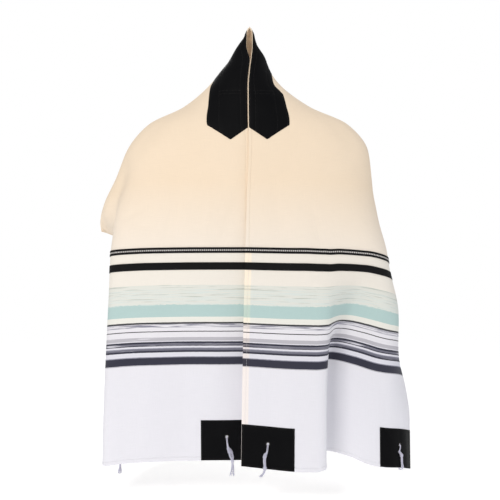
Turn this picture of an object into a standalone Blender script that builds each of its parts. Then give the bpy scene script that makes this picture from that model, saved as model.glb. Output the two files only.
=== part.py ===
"""Tallit prayer shawl, worn: a rectangle of wool hung over a neck and shoulders, open at neck, front and hem.

Metres, +Z up, front towards -Y, wearer's neck base at the origin. The cloth's own directions are u, along its
length from the centre of the back (negative to the left, positive to the right), and t, across it from the
inner, neck edge.
"""
import math

import bmesh
import bpy
import numpy as np
from mathutils import Matrix, Vector

# Driving sizes
SHAWL_LENGTH = 1.83
SHAWL_WIDTH = 0.457
CLOTH_THICKNESS = 0.0016
TRIM_THICKNESS = 0.0010
SEAM_GAP = 0.0003
LAYER_GAP = 0.0004

NECKBAND_WIDTH = 0.082
NECKBAND_HALF_LENGTH = 0.247
NECKBAND_POINT = 0.027
NECKBAND_POINT_AT = 0.040
NECKBAND_POINT_LEAST = 0.0035
NECKBAND_INSET = 0.0022
NECKBAND_INSET_OVER = (0.010, 0.045)

SEAM_ABOVE_HEM = 0.419
LADDER_WIDTH = 0.0112
WIDE_RIBBON_ABOVE_HEM = 0.380
WIDE_RIBBON_WIDTH = 0.0148

PATCH_WIDTH = 0.102
PATCH_HEIGHT = 0.080
HOLE_RADIUS = 0.0030
HOLE_ABOVE_HEM = 0.047
HOLE_SEARCH = 0.030
HOLE_SIDES = 8
PUNCH_LENGTH = 0.012

STRAND_COUNT = 8
STRAND_RADIUS = 0.0008
STRAND_BOW = 0.0014
STRAND_GATHER = 0.0006
STRAND_LEAN = 0.002
LOOP_RADIUS = 0.0010
LOOP_NEAR_HOLE = 0.0035
LOOP_TURN_DROP = 0.010
KNOT_RADIUS = 0.0045
KNOT_HALF_HEIGHT = 0.0085
TASSEL_CLEARANCE = 0.0012

HALF_LENGTH = SHAWL_LENGTH / 2
SEAM_AT = HALF_LENGTH - SEAM_ABOVE_HEM
SIDES = {"left": -1, "right": 1}


def table(columns, *rows):
    """Named columns of a short table."""
    return {name: np.array(values, float) for name, values in zip(columns, zip(*rows))}


# Level rings of the worn form. A ring is named by its distance from the peak down the front, is rounder or
# squarer at its sides, and its middle may stand off the centre line.
RINGS = table(
    ("level", "front_y", "front_z", "left_x", "right_x",
     "side_y", "side_z", "back_y", "back_z", "square", "middle"),
    (0.000, 0.006, 0.168, 0.0020, 0.0020, 0.010, 0.168, 0.014, 0.168, 0.00, 0.0030),
    (0.020, 0.001, 0.150, 0.0055, 0.0055, 0.011, 0.150, 0.024, 0.152, 0.00, 0.0030),
    (0.045, -0.010, 0.128, 0.0185, 0.0118, 0.011, 0.129, 0.036, 0.1315, 0.00, 0.0024),
    (0.075, -0.023, 0.101, 0.0370, 0.0302, 0.012, 0.103, 0.050, 0.106, 0.00, 0.0015),
    (0.110, -0.037, 0.069, 0.0580, 0.0445, 0.013, 0.074, 0.062, 0.073, 0.00, 0.0006),
    (0.150, -0.053, 0.031, 0.0830, 0.0700, 0.014, 0.042, 0.072, 0.038, 0.01, 0.0000),
    (0.200, -0.069, -0.016, 0.1380, 0.1330, 0.016, -0.004, 0.082, -0.012, 0.06, 0.0000),
    (0.250, -0.083, -0.063, 0.2130, 0.2130, 0.017, -0.041, 0.088, -0.062, 0.09, 0.0000),
    (0.300, -0.093, -0.112, 0.2600, 0.2550, 0.017, -0.095, 0.091, -0.112, 0.10, 0.0000),
    (0.350, -0.101, -0.161, 0.2860, 0.2640, 0.018, -0.156, 0.092, -0.162, 0.10, 0.0000),
    (0.400, -0.107, -0.211, 0.3100, 0.2700, 0.020, -0.206, 0.092, -0.212, 0.10, 0.0000),
    (0.460, -0.111, -0.271, 0.3340, 0.2800, 0.030, -0.258, 0.091, -0.270, 0.10, 0.0000),
    (0.520, -0.113, -0.331, 0.3420, 0.2880, 0.044, -0.296, 0.090, -0.325, 0.10, 0.0000),
)

# The two front edges: where each one runs at a distance u from the peak.
EDGES = table(
    ("u", "left_x", "right_x", "left_y", "right_y", "z"),
    (0.000, 0.0000, 0.0000, 0.006, 0.006, 0.168),
    (0.020, -0.0060, 0.0060, 0.001, 0.001, 0.150),
    (0.050, -0.0058, 0.0062, -0.012, -0.012, 0.124),
    (0.090, 0.0030, 0.0040, -0.029, -0.029, 0.0875),
    (0.115, 0.0010, 0.0018, -0.039, -0.039, 0.064),
    (0.157, -0.0010, -0.0002, -0.055, -0.055, 0.025),
    (0.226, -0.0006, 0.0002, -0.076, -0.077, -0.040),
    (0.288, 0.0020, 0.0012, -0.091, -0.096, -0.100),
    (0.389, 0.0030, -0.0020, -0.106, -0.114, -0.200),
    (0.489, 0.0040, -0.0050, -0.112, -0.122, -0.300),
    (0.650, 0.0070, -0.0090, -0.115, -0.135, -0.459),
    (0.800, 0.0090, -0.0115, -0.118, -0.150, -0.606),
    (0.915, 0.0100, -0.0131, -0.120, -0.163, -0.719),
)

# Plan line of each hanging front: heading in degrees from sideways towards the back, and how far the cloth
# drops below its inner edge, at the top of the hanging part and at the hem. The heading changes from one
# to the other between two shares of the way down.
FRONT_COLUMNS = ("t", "top_heading", "hem_heading", "top_drop", "hem_drop", "turn_from", "turn_full")
FRONTS = {
    "left": table(
        FRONT_COLUMNS,
        (0.000, 0, 0, 0.000, 0.000, -0.10, 1.10),
        (0.100, 3, 1, 0.000, 0.001, -0.10, 1.10),
        (0.200, 8, 0, 0.001, 0.004, -0.10, 1.10),
        (0.250, 18, -4, 0.003, 0.007, -0.10, 1.10),
        (0.280, 50, 8, 0.005, 0.011, -0.10, 1.10),
        (0.305, 86, 72, 0.008, 0.015, -0.10, 1.10),
        (0.335, 102, 103, 0.012, 0.019, -0.10, 1.10),
        (0.380, 108, 106, 0.018, 0.026, -0.10, 1.10),
        (0.457, 112, 98, 0.030, 0.036, -0.10, 1.10),
    ),
    "right": table(
        FRONT_COLUMNS,
        (0.000, 0, -7, 0.000, 0.000, 0.05, 0.75),
        (0.115, 5, -7, 0.001, 0.007, 0.05, 0.75),
        (0.140, 7, 0, 0.002, 0.007, 0.05, 0.75),
        (0.158, 8, 35, 0.003, 0.005, 0.05, 0.75),
        (0.170, 8, 78, 0.004, 0.003, 0.05, 0.75),
        (0.182, 9, 102, 0.004, -0.001, 0.05, 0.75),
        (0.205, 10, 106, 0.006, -0.007, 0.05, 0.75),
        (0.222, 11, 86, 0.008, -0.011, 0.05, 0.72),
        (0.238, 14, 38, 0.010, -0.013, 0.08, 0.60),
        (0.250, 20, 8, 0.011, -0.012, 0.10, 0.46),
        (0.290, 50, -7, 0.018, -0.002, 0.12, 0.44),
        (0.335, 88, -2, 0.026, 0.015, 0.12, 0.62),
        (0.365, 114, 22, 0.031, 0.021, 0.12, 0.75),
        (0.400, 140, 44, 0.037, 0.027, 0.10, 0.78),
        (0.457, 162, 60, 0.046, 0.042, 0.08, 0.80),
    ),
}
HANG_TOP = 0.42
HANG_BLEND = (0.30, 0.50)
HANG_BLEND_LATER = 0.085

# Soft folds standing out (+) or in (-) from the form, each along a straight line on the cloth.
FOLDS = table(
    ("u_top", "t_top", "u_low", "t_low", "half_width", "height"),
    (-0.270, 0.235, -0.430, 0.345, 0.026, -0.014),
    (0.250, 0.300, 0.330, 0.457, 0.030, -0.009),
    (-0.120, 0.150, -0.165, 0.457, 0.034, -0.010),
    (-0.030, 0.120, -0.020, 0.457, 0.036, 0.008),
    (0.100, 0.140, 0.150, 0.457, 0.034, -0.009),
)

# Corner tassels: the knot's drop below its hole, its strands' length and how far it hangs to the right along
# the cloth.
TASSELS = {
    "side": ("left", "left", "right", "right"),
    "corner": ("inner", "outer", "inner", "outer"),
    "knot_drop": (0.031, 0.030, 0.026, 0.022),
    "tail": (0.042, 0.046, 0.030, 0.028),
    "sway": (0.008, 0.000, -0.005, -0.013),
}


def smooth(x, xs, ys):
    """Smooth curve through a table's points that doesn't overshoot them."""
    x = np.clip(x, xs[0], xs[-1])
    step = np.diff(xs)
    slope = np.diff(ys) / step
    tangent = np.zeros_like(ys)
    tangent[0], tangent[-1] = slope[0], slope[-1]
    before, after = slope[:-1], slope[1:]
    same_way = before * after > 0
    mean = np.where(same_way, 2 * before * after / np.where(same_way, before + after, 1), 0)
    tangent[1:-1] = mean
    i = np.clip(np.searchsorted(xs, x) - 1, 0, len(step) - 1)
    h = step[i]
    f = (x - xs[i]) / h
    return ((1 + 2 * f) * (1 - f) ** 2 * ys[i] + f * (1 - f) ** 2 * h * tangent[i]
            + f * f * (3 - 2 * f) * ys[i + 1] - f * f * (1 - f) * h * tangent[i + 1])


def ease(x, low, high):
    """0 below low, 1 above high, a soft step between."""
    f = np.clip((x - low) / (high - low), 0, 1)
    return f * f * (3 - 2 * f)


def ring_form(side, s, t):
    """The cloth over neck, shoulders and back, at s from the centre back and t from the neck edge."""
    reach = np.maximum(s, t)
    power = 2 + 6 * ease(reach, 0.12, 0.33)
    level = (s ** power + t ** power) ** (1 / power)
    small, large = np.minimum(s, t), np.maximum(reach, 1e-9)
    squared = np.where(t <= s, 0.5 * small / large, 1 - 0.5 * small / large)
    round_turn = np.arctan2(t, np.maximum(s, 1e-9)) * 2 / math.pi
    mix = ease(reach, 0.12, 0.30)
    turn = math.pi * (round_turn * (1 - mix) + squared * mix)

    def at(name):
        return smooth(level, RINGS["level"], RINGS[name])

    square = at("square")
    across = (np.sin(turn) - square * np.sin(3 * turn)) / (1 + square)
    along = (np.cos(turn) - square * np.cos(3 * turn)) / (1 - square)
    front = turn <= math.pi / 2
    edge = smooth(level, EDGES["u"], EDGES[side + "_x"]) * np.cos(turn / 2) ** 2
    lead = smooth(level, EDGES["u"], EDGES[side + "_y"]) - at("front_y")
    x = at("middle") + SIDES[side] * at(side + "_x") * across + edge
    y = at("side_y") + np.where(front, at("side_y") - at("front_y"), at("back_y") - at("side_y")) * -along
    y = y + lead * ease(0.10 - t, 0, 0.10)
    end_z = np.where(front, at("front_z"), at("back_z"))
    z = at("side_z") + (end_z - at("side_z")) * np.cos(turn) ** 2
    return np.stack([x, y, z], -1)


def front_form(side, s, t):
    """The hanging front, each level line keeping the cloth's full width along its folds."""
    front = FRONTS[side]
    hang = np.clip((s - HANG_TOP) / (HALF_LENGTH - HANG_TOP), 0, 1)
    steps = 48
    x = smooth(s, EDGES["u"], EDGES[side + "_x"])
    y = smooth(s, EDGES["u"], EDGES[side + "_y"])
    for k in range(steps):
        at = t * (k + 0.5) / steps
        top = smooth(at, front["t"], front["top_heading"])
        hem = smooth(at, front["t"], front["hem_heading"])
        turn_from = smooth(at, front["t"], front["turn_from"])
        turned = ease(hang, turn_from, smooth(at, front["t"], front["turn_full"]))
        heading = np.radians(top + (hem - top) * turned)
        x = x + SIDES[side] * np.cos(heading) * t / steps
        y = y + np.sin(heading) * t / steps
    top = smooth(t, front["t"], front["top_drop"])
    hem = smooth(t, front["t"], front["hem_drop"])
    z = smooth(s, EDGES["u"], EDGES["z"]) - (top + (hem - top) * hang)
    return np.stack([x, y, z], -1)


def draped(u, t):
    """The draped cloth before its soft folds."""
    u, t = np.broadcast_arrays(np.asarray(u, float), np.asarray(t, float))
    s = np.abs(u)
    points = np.zeros(u.shape + (3,))
    for side in SIDES:
        mine = u < 0 if side == "left" else u >= 0
        if mine.any():
            low, high = HANG_BLEND
            later = HANG_BLEND_LATER * (t[mine] / SHAWL_WIDTH) ** 2
            mix = ease(s[mine], low + later, high)[:, None]
            worn = ring_form(side, s[mine], t[mine])
            hanging = front_form(side, s[mine], t[mine])
            points[mine] = worn * (1 - mix) + hanging * mix
    return points


def outward(form, u, t, step=0.002):
    """Unit normals of a form, away from the wearer."""
    along = form(np.minimum(u + step, HALF_LENGTH), t) - form(np.maximum(u - step, -HALF_LENGTH), t)
    across = form(u, np.minimum(t + step, SHAWL_WIDTH)) - form(u, np.maximum(t - step, 0))
    normal = np.cross(along, across)
    return normal / np.maximum(np.linalg.norm(normal, axis=-1, keepdims=True), 1e-12)


def fold_height(u, t):
    """How far the soft folds move the cloth out."""
    height = np.zeros(np.shape(u))
    for u_top, t_top, u_low, t_low, half_width, peak in zip(*FOLDS.values()):
        run = np.array([u_low - u_top, t_low - t_top])
        length = np.hypot(*run)
        run = run / length
        along = ((u - u_top) * run[0] + (t - t_top) * run[1]) / length
        aside = (u - u_top) * -run[1] + (t - t_top) * run[0]
        fade = ease(along, 0, 0.6) * ease(1.45 - along, 0, 0.45)
        height += peak * np.exp(-(aside / half_width) ** 2) * fade
    return height


def cloth(u, t):
    """The cloth's outer face."""
    u, t = np.broadcast_arrays(np.asarray(u, float), np.asarray(t, float))
    return draped(u, t) + outward(draped, u, t) * fold_height(u, t)[..., None]


def run_steps(*stops):
    """Values from stop to stop, each stop after the first given with its number of equal steps."""
    values = [stops[0]]
    for stop, count in stops[1:]:
        start = values[-1]
        values += [start + (stop - start) * (k + 1) / count for k in range(count)]
    return np.array(values)


def fold_columns(side, start, stop, count):
    """Places across the cloth from start to stop, closer together where the front turns."""
    front = FRONTS[side]
    fine = np.linspace(start, stop, 400)
    turning = (np.abs(np.gradient(smooth(fine, front["t"], front["hem_heading"]), fine))
               + np.abs(np.gradient(smooth(fine, front["t"], front["top_heading"]), fine))) / 30
    measure = np.cumsum(turning + 25)
    measure = (measure - measure[0]) / (measure[-1] - measure[0])
    return np.interp(np.linspace(0, 1, count + 1), measure, fine)


def columns(side):
    """Places of the grid's lines across the cloth."""
    inner = run_steps(0, (NECKBAND_WIDTH, 4), (PATCH_WIDTH, 1))
    outer = run_steps(SHAWL_WIDTH - PATCH_WIDTH, (SHAWL_WIDTH, 4))
    return np.concatenate([inner, fold_columns(side, inner[-1], outer[0], 12)[1:-1], outer])


COLUMNS = {side: columns(side) for side in SIDES}


def grid(us):
    """Grid of (u, t) over the cloth at each u, its lines easing from the left's columns to the right's."""
    us = np.asarray(us, float)
    mix = ease(us, -0.30, 0.30)[:, None]
    ts = COLUMNS["left"][None, :] * (1 - mix) + COLUMNS["right"][None, :] * mix
    return np.broadcast_to(us[:, None], ts.shape), ts


def clear_scene():
    for thing in list(bpy.data.objects):
        bpy.data.objects.remove(thing)


def material(name, colour, roughness, sheen=0.0):
    made = bpy.data.materials.new(name)
    made.use_nodes = True
    shader = made.node_tree.nodes["Principled BSDF"]
    shader.inputs["Base Color"].default_value = (*colour, 1)
    shader.inputs["Roughness"].default_value = roughness
    shader.inputs["Metallic"].default_value = 0
    shader.inputs["Sheen Weight"].default_value = sheen
    made.diffuse_color = (*colour, 1)
    return made


def make_object(name, mesh_maker, surface):
    """One closed body as a named object with its own material."""
    mesh = bpy.data.meshes.new(name)
    mesh_maker.to_mesh(mesh)
    mesh_maker.free()
    mesh.materials.append(surface)
    mesh.shade_smooth()
    thing = bpy.data.objects.new(name, mesh)
    bpy.context.scene.collection.objects.link(thing)
    return thing


def wall(outer, inner):
    """Closed wall between two grids of points, the outer one facing out."""
    made = bmesh.new()
    rows, cols = outer.shape[:2]
    front = [[made.verts.new(outer[i, j]) for j in range(cols)] for i in range(rows)]
    back = [[made.verts.new(inner[i, j]) for j in range(cols)] for i in range(rows)]
    for i in range(rows - 1):
        for j in range(cols - 1):
            made.faces.new((front[i][j], front[i + 1][j], front[i + 1][j + 1], front[i][j + 1]))
            made.faces.new((back[i][j], back[i][j + 1], back[i + 1][j + 1], back[i + 1][j]))
    rim = ([(i, 0) for i in range(rows)] + [(rows - 1, j) for j in range(1, cols)]
           + [(i, cols - 1) for i in range(rows - 2, -1, -1)] + [(0, j) for j in range(cols - 2, 0, -1)])
    for (i, j), (k, m) in zip(rim, rim[1:] + rim[:1]):
        made.faces.new((front[k][m], front[i][j], back[i][j], back[k][m]))
    bmesh.ops.triangulate(made, faces=made.faces, quad_method="FIXED")
    return made


def cloth_piece(name, us, surface):
    """A stretch of the cloth from hem to hem across, between the first and last u."""
    u, t = grid(us)
    outer = cloth(u, t)
    return make_object(name, wall(outer, outer - outward(cloth, u, t) * CLOTH_THICKNESS), surface)


def trim_piece(name, u, t, surface, points=None):
    """A strip or patch lying on the cloth's outer face over its own grid lines."""
    base = cloth(u, t) if points is None else points
    out = outward(cloth, u, t)
    low = base + out * LAYER_GAP
    return make_object(name, wall(low + out * TRIM_THICKNESS, low), surface)


def centre_rows():
    """Places of the grid's lines along the centre cloth, on its right half."""
    return run_steps(0, (0.020, 1), (NECKBAND_HALF_LENGTH, 10), (NECKBAND_HALF_LENGTH + NECKBAND_POINT, 1),
                     (SEAM_AT - LADDER_WIDTH / 2, 8), (SEAM_AT - SEAM_GAP / 2, 1))


def end_rows():
    """Places of the grid's lines along an end panel, from its seam to its hem."""
    wide_top = HALF_LENGTH - WIDE_RIBBON_ABOVE_HEM - WIDE_RIBBON_WIDTH
    return run_steps(SEAM_AT + SEAM_GAP / 2, (SEAM_AT + LADDER_WIDTH / 2, 1), (wide_top, 1),
                     (wide_top + WIDE_RIBBON_WIDTH, 1), (HALF_LENGTH - PATCH_HEIGHT, 9), (HALF_LENGTH, 3))


def cloths(wool, lower_wool):
    half = centre_rows()
    cloth_piece("centre_cloth", np.concatenate([-half[:0:-1], half]), wool)
    for side, sign in SIDES.items():
        cloth_piece(f"end_panel_{side}", np.sort(sign * end_rows()), lower_wool)


def neckband(satin):
    """Pointed band along the neck edge, over the peak from front to front, set in a little on the right."""
    half = centre_rows()
    half = half[: np.searchsorted(half, NECKBAND_HALF_LENGTH + LAYER_GAP)]
    cols = run_steps(0, (NECKBAND_WIDTH, 4))
    body = np.concatenate([-half[:0:-1], half])
    point = np.interp(cols, (0, NECKBAND_POINT_AT, NECKBAND_WIDTH), (0, NECKBAND_POINT, 0))
    point = np.maximum(point, NECKBAND_POINT_LEAST)
    u = np.concatenate([[-half[-1] - point], np.repeat(body[:, None], len(cols), 1), [half[-1] + point]])
    t = np.repeat(cols[None, :], len(u), 0)
    points = cloth(u, t)
    points[[0, -1], :, 1] -= LAYER_GAP
    inset = NECKBAND_INSET * ease(u[:, :1], *NECKBAND_INSET_OVER)
    points[:, 0] += (points[:, 1] - points[:, 0]) * inset / cols[1]
    trim_piece("neckband", u, t, satin, points)


def ribbons(ladder_black, ribbon_black):
    ladder_top = SEAM_AT - LADDER_WIDTH / 2
    wide_top = HALF_LENGTH - WIDE_RIBBON_ABOVE_HEM - WIDE_RIBBON_WIDTH
    rows = {
        "ladder_ribbon": (run_steps(ladder_top, (ladder_top + LADDER_WIDTH, 2)), ladder_black),
        "wide_ribbon": (run_steps(wide_top, (wide_top + WIDE_RIBBON_WIDTH, 1)), ribbon_black),
    }
    for name, (us, surface) in rows.items():
        for side, sign in SIDES.items():
            trim_piece(f"{name}_{side}", *grid(np.sort(sign * us)), surface)


def hole_at(side, corner):
    """Place on the cloth of a corner's hole: u, t."""
    t = PATCH_WIDTH / 2 if corner == "inner" else SHAWL_WIDTH - PATCH_WIDTH / 2
    return SIDES[side] * (HALF_LENGTH - HOLE_ABOVE_HEM), t


def cutter(name, u, t):
    """Round punch through the cloth at u, t."""
    place = Vector(cloth(np.array([u]), np.array([t]))[0])
    out = Vector(outward(cloth, np.array([u]), np.array([t]))[0])
    turned = out.to_track_quat("Z", "Y").to_matrix().to_4x4()
    made = bmesh.new()
    bmesh.ops.create_cone(made, cap_ends=True, segments=HOLE_SIDES, radius1=HOLE_RADIUS, radius2=HOLE_RADIUS,
                          depth=PUNCH_LENGTH, matrix=Matrix.Translation(place) @ turned)
    return guide_object(name, made)


def guide_object(name, made):
    """A shape that only serves a Boolean."""
    mesh = bpy.data.meshes.new(name)
    made.to_mesh(mesh)
    made.free()
    thing = bpy.data.objects.new(name, mesh)
    thing.hide_render = True
    thing.display_type = "WIRE"
    bpy.context.scene.collection.objects.link(thing)
    return thing


def punch(target, tool):
    cut = bpy.data.objects[target].modifiers.new(f"hole {tool.name}", "BOOLEAN")
    cut.operation = "DIFFERENCE"
    cut.object = tool


def corners(patch_black, cord_white):
    for side, corner, *hang in zip(*TASSELS.values()):
        sign = SIDES[side]
        cols = COLUMNS[side][:6] if corner == "inner" else COLUMNS[side][-5:]
        us = np.sort(sign * run_steps(HALF_LENGTH - PATCH_HEIGHT, (HALF_LENGTH, 3)))
        u, t = np.meshgrid(us, cols, indexing="ij")
        name = f"corner_patch_{side}_{corner}"
        trim_piece(name, u, t, patch_black)
        tool = cutter(f"punch_{side}_{corner}", *hole_at(side, corner))
        punch(name, tool)
        punch(f"end_panel_{side}", tool)
        tassel(f"tassel_{side}_{corner}", *hole_at(side, corner), *hang, cord_white)


def tube(made, route, radius, sides):
    """Closed tube of flat sides along a route, capped at both ends."""
    rings = []
    aside = None
    for k, here in enumerate(route):
        ahead = (route[min(k + 1, len(route) - 1)] - route[max(k - 1, 0)]).normalized()
        aside = ahead.orthogonal() if aside is None else aside - ahead * aside.dot(ahead)
        aside.normalize()
        other = ahead.cross(aside)
        rings.append([made.verts.new(here + radius * (aside * math.cos(a) + other * math.sin(a)))
                      for a in (2 * math.pi * n / sides for n in range(sides))])
    for low, high in zip(rings, rings[1:]):
        for n in range(sides):
            m = (n + 1) % sides
            made.faces.new((low[n], low[m], high[m], high[n]))
    made.faces.new(rings[0][::-1])
    made.faces.new(rings[-1])


def hole_frame(u, t):
    """A hole's centre and the level directions out of the cloth and to the right along it."""
    centre = Vector(cloth(np.array([u]), np.array([t]))[0])
    out = outward(cloth, np.array([u]), np.array([t]))[0]
    out = Vector((out[0], out[1], 0)).normalized()
    return centre, out, Vector((0, 0, 1)).cross(out)


def hem_below(u, t, centre, out, right):
    """How far out of the hole's plane the cloth straight below it stands, from the hole to the hem."""
    near = np.linspace(t - HOLE_SEARCH, t + HOLE_SEARCH, 121)
    below = []
    for down in np.linspace(0, HOLE_ABOVE_HEM, 9):
        row = cloth(u + math.copysign(down, u), near) - np.array(centre)
        below.append(row[np.argmin(np.abs(row @ np.array(right)))])
    return np.array(below) @ np.array(out), -below[-1][2]


def tassel(name, u, t, knot_drop, tail, sway, surface):
    """Knotted head with a loop through the hole and round the hem, and eight strands fused into it."""
    centre, out, right = hole_frame(u, t)
    stands, hem_drop = hem_below(u, t, centre, out, right)
    face = LAYER_GAP + TRIM_THICKNESS + TASSEL_CLEARANCE
    knot_out = max(stands.max(), 0) + face + KNOT_RADIUS
    back_out = min(stands.min(), 0) - CLOTH_THICKNESS - TASSEL_CLEARANCE - LOOP_RADIUS

    def at(away, drop, shift=0.0):
        return centre + out * away + right * shift - Vector((0, 0, drop))

    knot = at(knot_out, knot_drop, sway)
    head = bmesh.new()
    place = Matrix.Translation(knot) @ Matrix.Diagonal((KNOT_RADIUS, KNOT_RADIUS, KNOT_HALF_HEIGHT, 1))
    bmesh.ops.create_uvsphere(head, u_segments=8, v_segments=6, radius=1, matrix=place)
    thing = make_object(name, head, surface)
    strands = bmesh.new()
    loop = loop_route(at, knot, knot_out, back_out, stands[-1], knot_drop, hem_drop, sway)
    tube(strands, loop, LOOP_RADIUS, 4)
    for k in range(STRAND_COUNT):
        angle = 2 * math.pi * (k + 0.5) / STRAND_COUNT
        spread = Vector((math.cos(angle), math.sin(angle), 0))
        start = knot + spread * KNOT_RADIUS * 0.62 - Vector((0, 0, KNOT_HALF_HEIGHT * 0.45))
        route = []
        for f in (0, 0.3, 0.65, 1):
            aside = STRAND_BOW * math.sin(math.pi * f) - STRAND_GATHER * f
            route.append(start + spread * aside + out * STRAND_LEAN * f - Vector((0, 0, tail * f)))
        tube(strands, route, STRAND_RADIUS, 3)
    join = thing.modifiers.new("strands", "BOOLEAN")
    join.operation = "UNION"
    join.object = guide_object(f"strands_{name}", strands)


def loop_route(at, knot, knot_out, back_out, hem_out, knot_drop, hem_drop, sway):
    """From the knot's top in through the hole, down behind the cloth, under the hem and up into the knot."""
    face = LAYER_GAP + TRIM_THICKNESS + TASSEL_CLEARANCE
    under = hem_drop + 3 * LOOP_RADIUS + TASSEL_CLEARANCE
    return [
        knot + Vector((0, 0, KNOT_HALF_HEIGHT * 0.5)),
        at(knot_out * 0.9, knot_drop * 0.5, sway * 0.6),
        at(face + 2 * LOOP_RADIUS, LOOP_NEAR_HOLE),
        at(face * 0.4, 0),
        at(-CLOTH_THICKNESS, 0),
        at(-CLOTH_THICKNESS - 3 * LOOP_RADIUS, 2 * LOOP_RADIUS),
        at(back_out, LOOP_TURN_DROP),
        at(back_out, hem_drop - 4 * LOOP_RADIUS),
        at((back_out + hem_out) / 2, under, sway * 0.3),
        at(hem_out + knot_out * 0.3, under, sway * 0.6),
        knot - Vector((0, 0, KNOT_HALF_HEIGHT * 0.55)),
    ]


def main():
    clear_scene()
    wool = material("ivory_wool", (0.95, 0.86, 0.72), 0.85, 0.2)
    lower_wool = material("white_wool", (0.86, 0.85, 0.88), 0.85, 0.2)
    satin = material("black_satin", (0.02, 0.02, 0.025), 0.35)
    ribbon_black = material("black_ribbon", (0.015, 0.015, 0.018), 0.6)
    ladder_black = material("ladder_ribbon", (0.05, 0.05, 0.05), 0.6)
    patch_black = material("black_patch", (0.02, 0.02, 0.03), 0.5)
    cord_white = material("tassel_wool", (0.87, 0.87, 0.92), 0.8)
    cloths(wool, lower_wool)
    neckband(satin)
    ribbons(ladder_black, ribbon_black)
    corners(patch_black, cord_white)


main()
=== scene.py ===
import math

import bpy
import numpy as np
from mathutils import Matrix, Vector


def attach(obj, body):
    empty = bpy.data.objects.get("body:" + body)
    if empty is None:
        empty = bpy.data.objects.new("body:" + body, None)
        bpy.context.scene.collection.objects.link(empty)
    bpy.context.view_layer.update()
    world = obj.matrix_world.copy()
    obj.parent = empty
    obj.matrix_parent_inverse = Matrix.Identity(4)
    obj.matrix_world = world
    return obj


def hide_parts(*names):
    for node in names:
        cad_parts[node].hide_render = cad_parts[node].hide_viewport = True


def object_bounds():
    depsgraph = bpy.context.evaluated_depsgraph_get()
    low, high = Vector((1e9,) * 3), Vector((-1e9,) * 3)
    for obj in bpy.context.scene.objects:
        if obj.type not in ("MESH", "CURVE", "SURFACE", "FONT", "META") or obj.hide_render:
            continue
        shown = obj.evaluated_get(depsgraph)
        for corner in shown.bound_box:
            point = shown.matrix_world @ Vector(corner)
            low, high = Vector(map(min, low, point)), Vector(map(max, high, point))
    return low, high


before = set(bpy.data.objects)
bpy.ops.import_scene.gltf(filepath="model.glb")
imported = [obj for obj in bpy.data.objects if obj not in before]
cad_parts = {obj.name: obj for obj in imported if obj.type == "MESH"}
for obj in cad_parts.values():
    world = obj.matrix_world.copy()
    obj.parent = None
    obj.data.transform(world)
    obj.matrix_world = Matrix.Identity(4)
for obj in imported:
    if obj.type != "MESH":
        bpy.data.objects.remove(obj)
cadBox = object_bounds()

# Metres, +Z up, front towards -Y. On the cloth, u runs along its length from the centre back (left is
# negative) and t across it from the neck edge.


def columnsOf(names, *rows):
    return {name: np.array(values, float) for name, values in zip(names, zip(*rows))}


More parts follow.
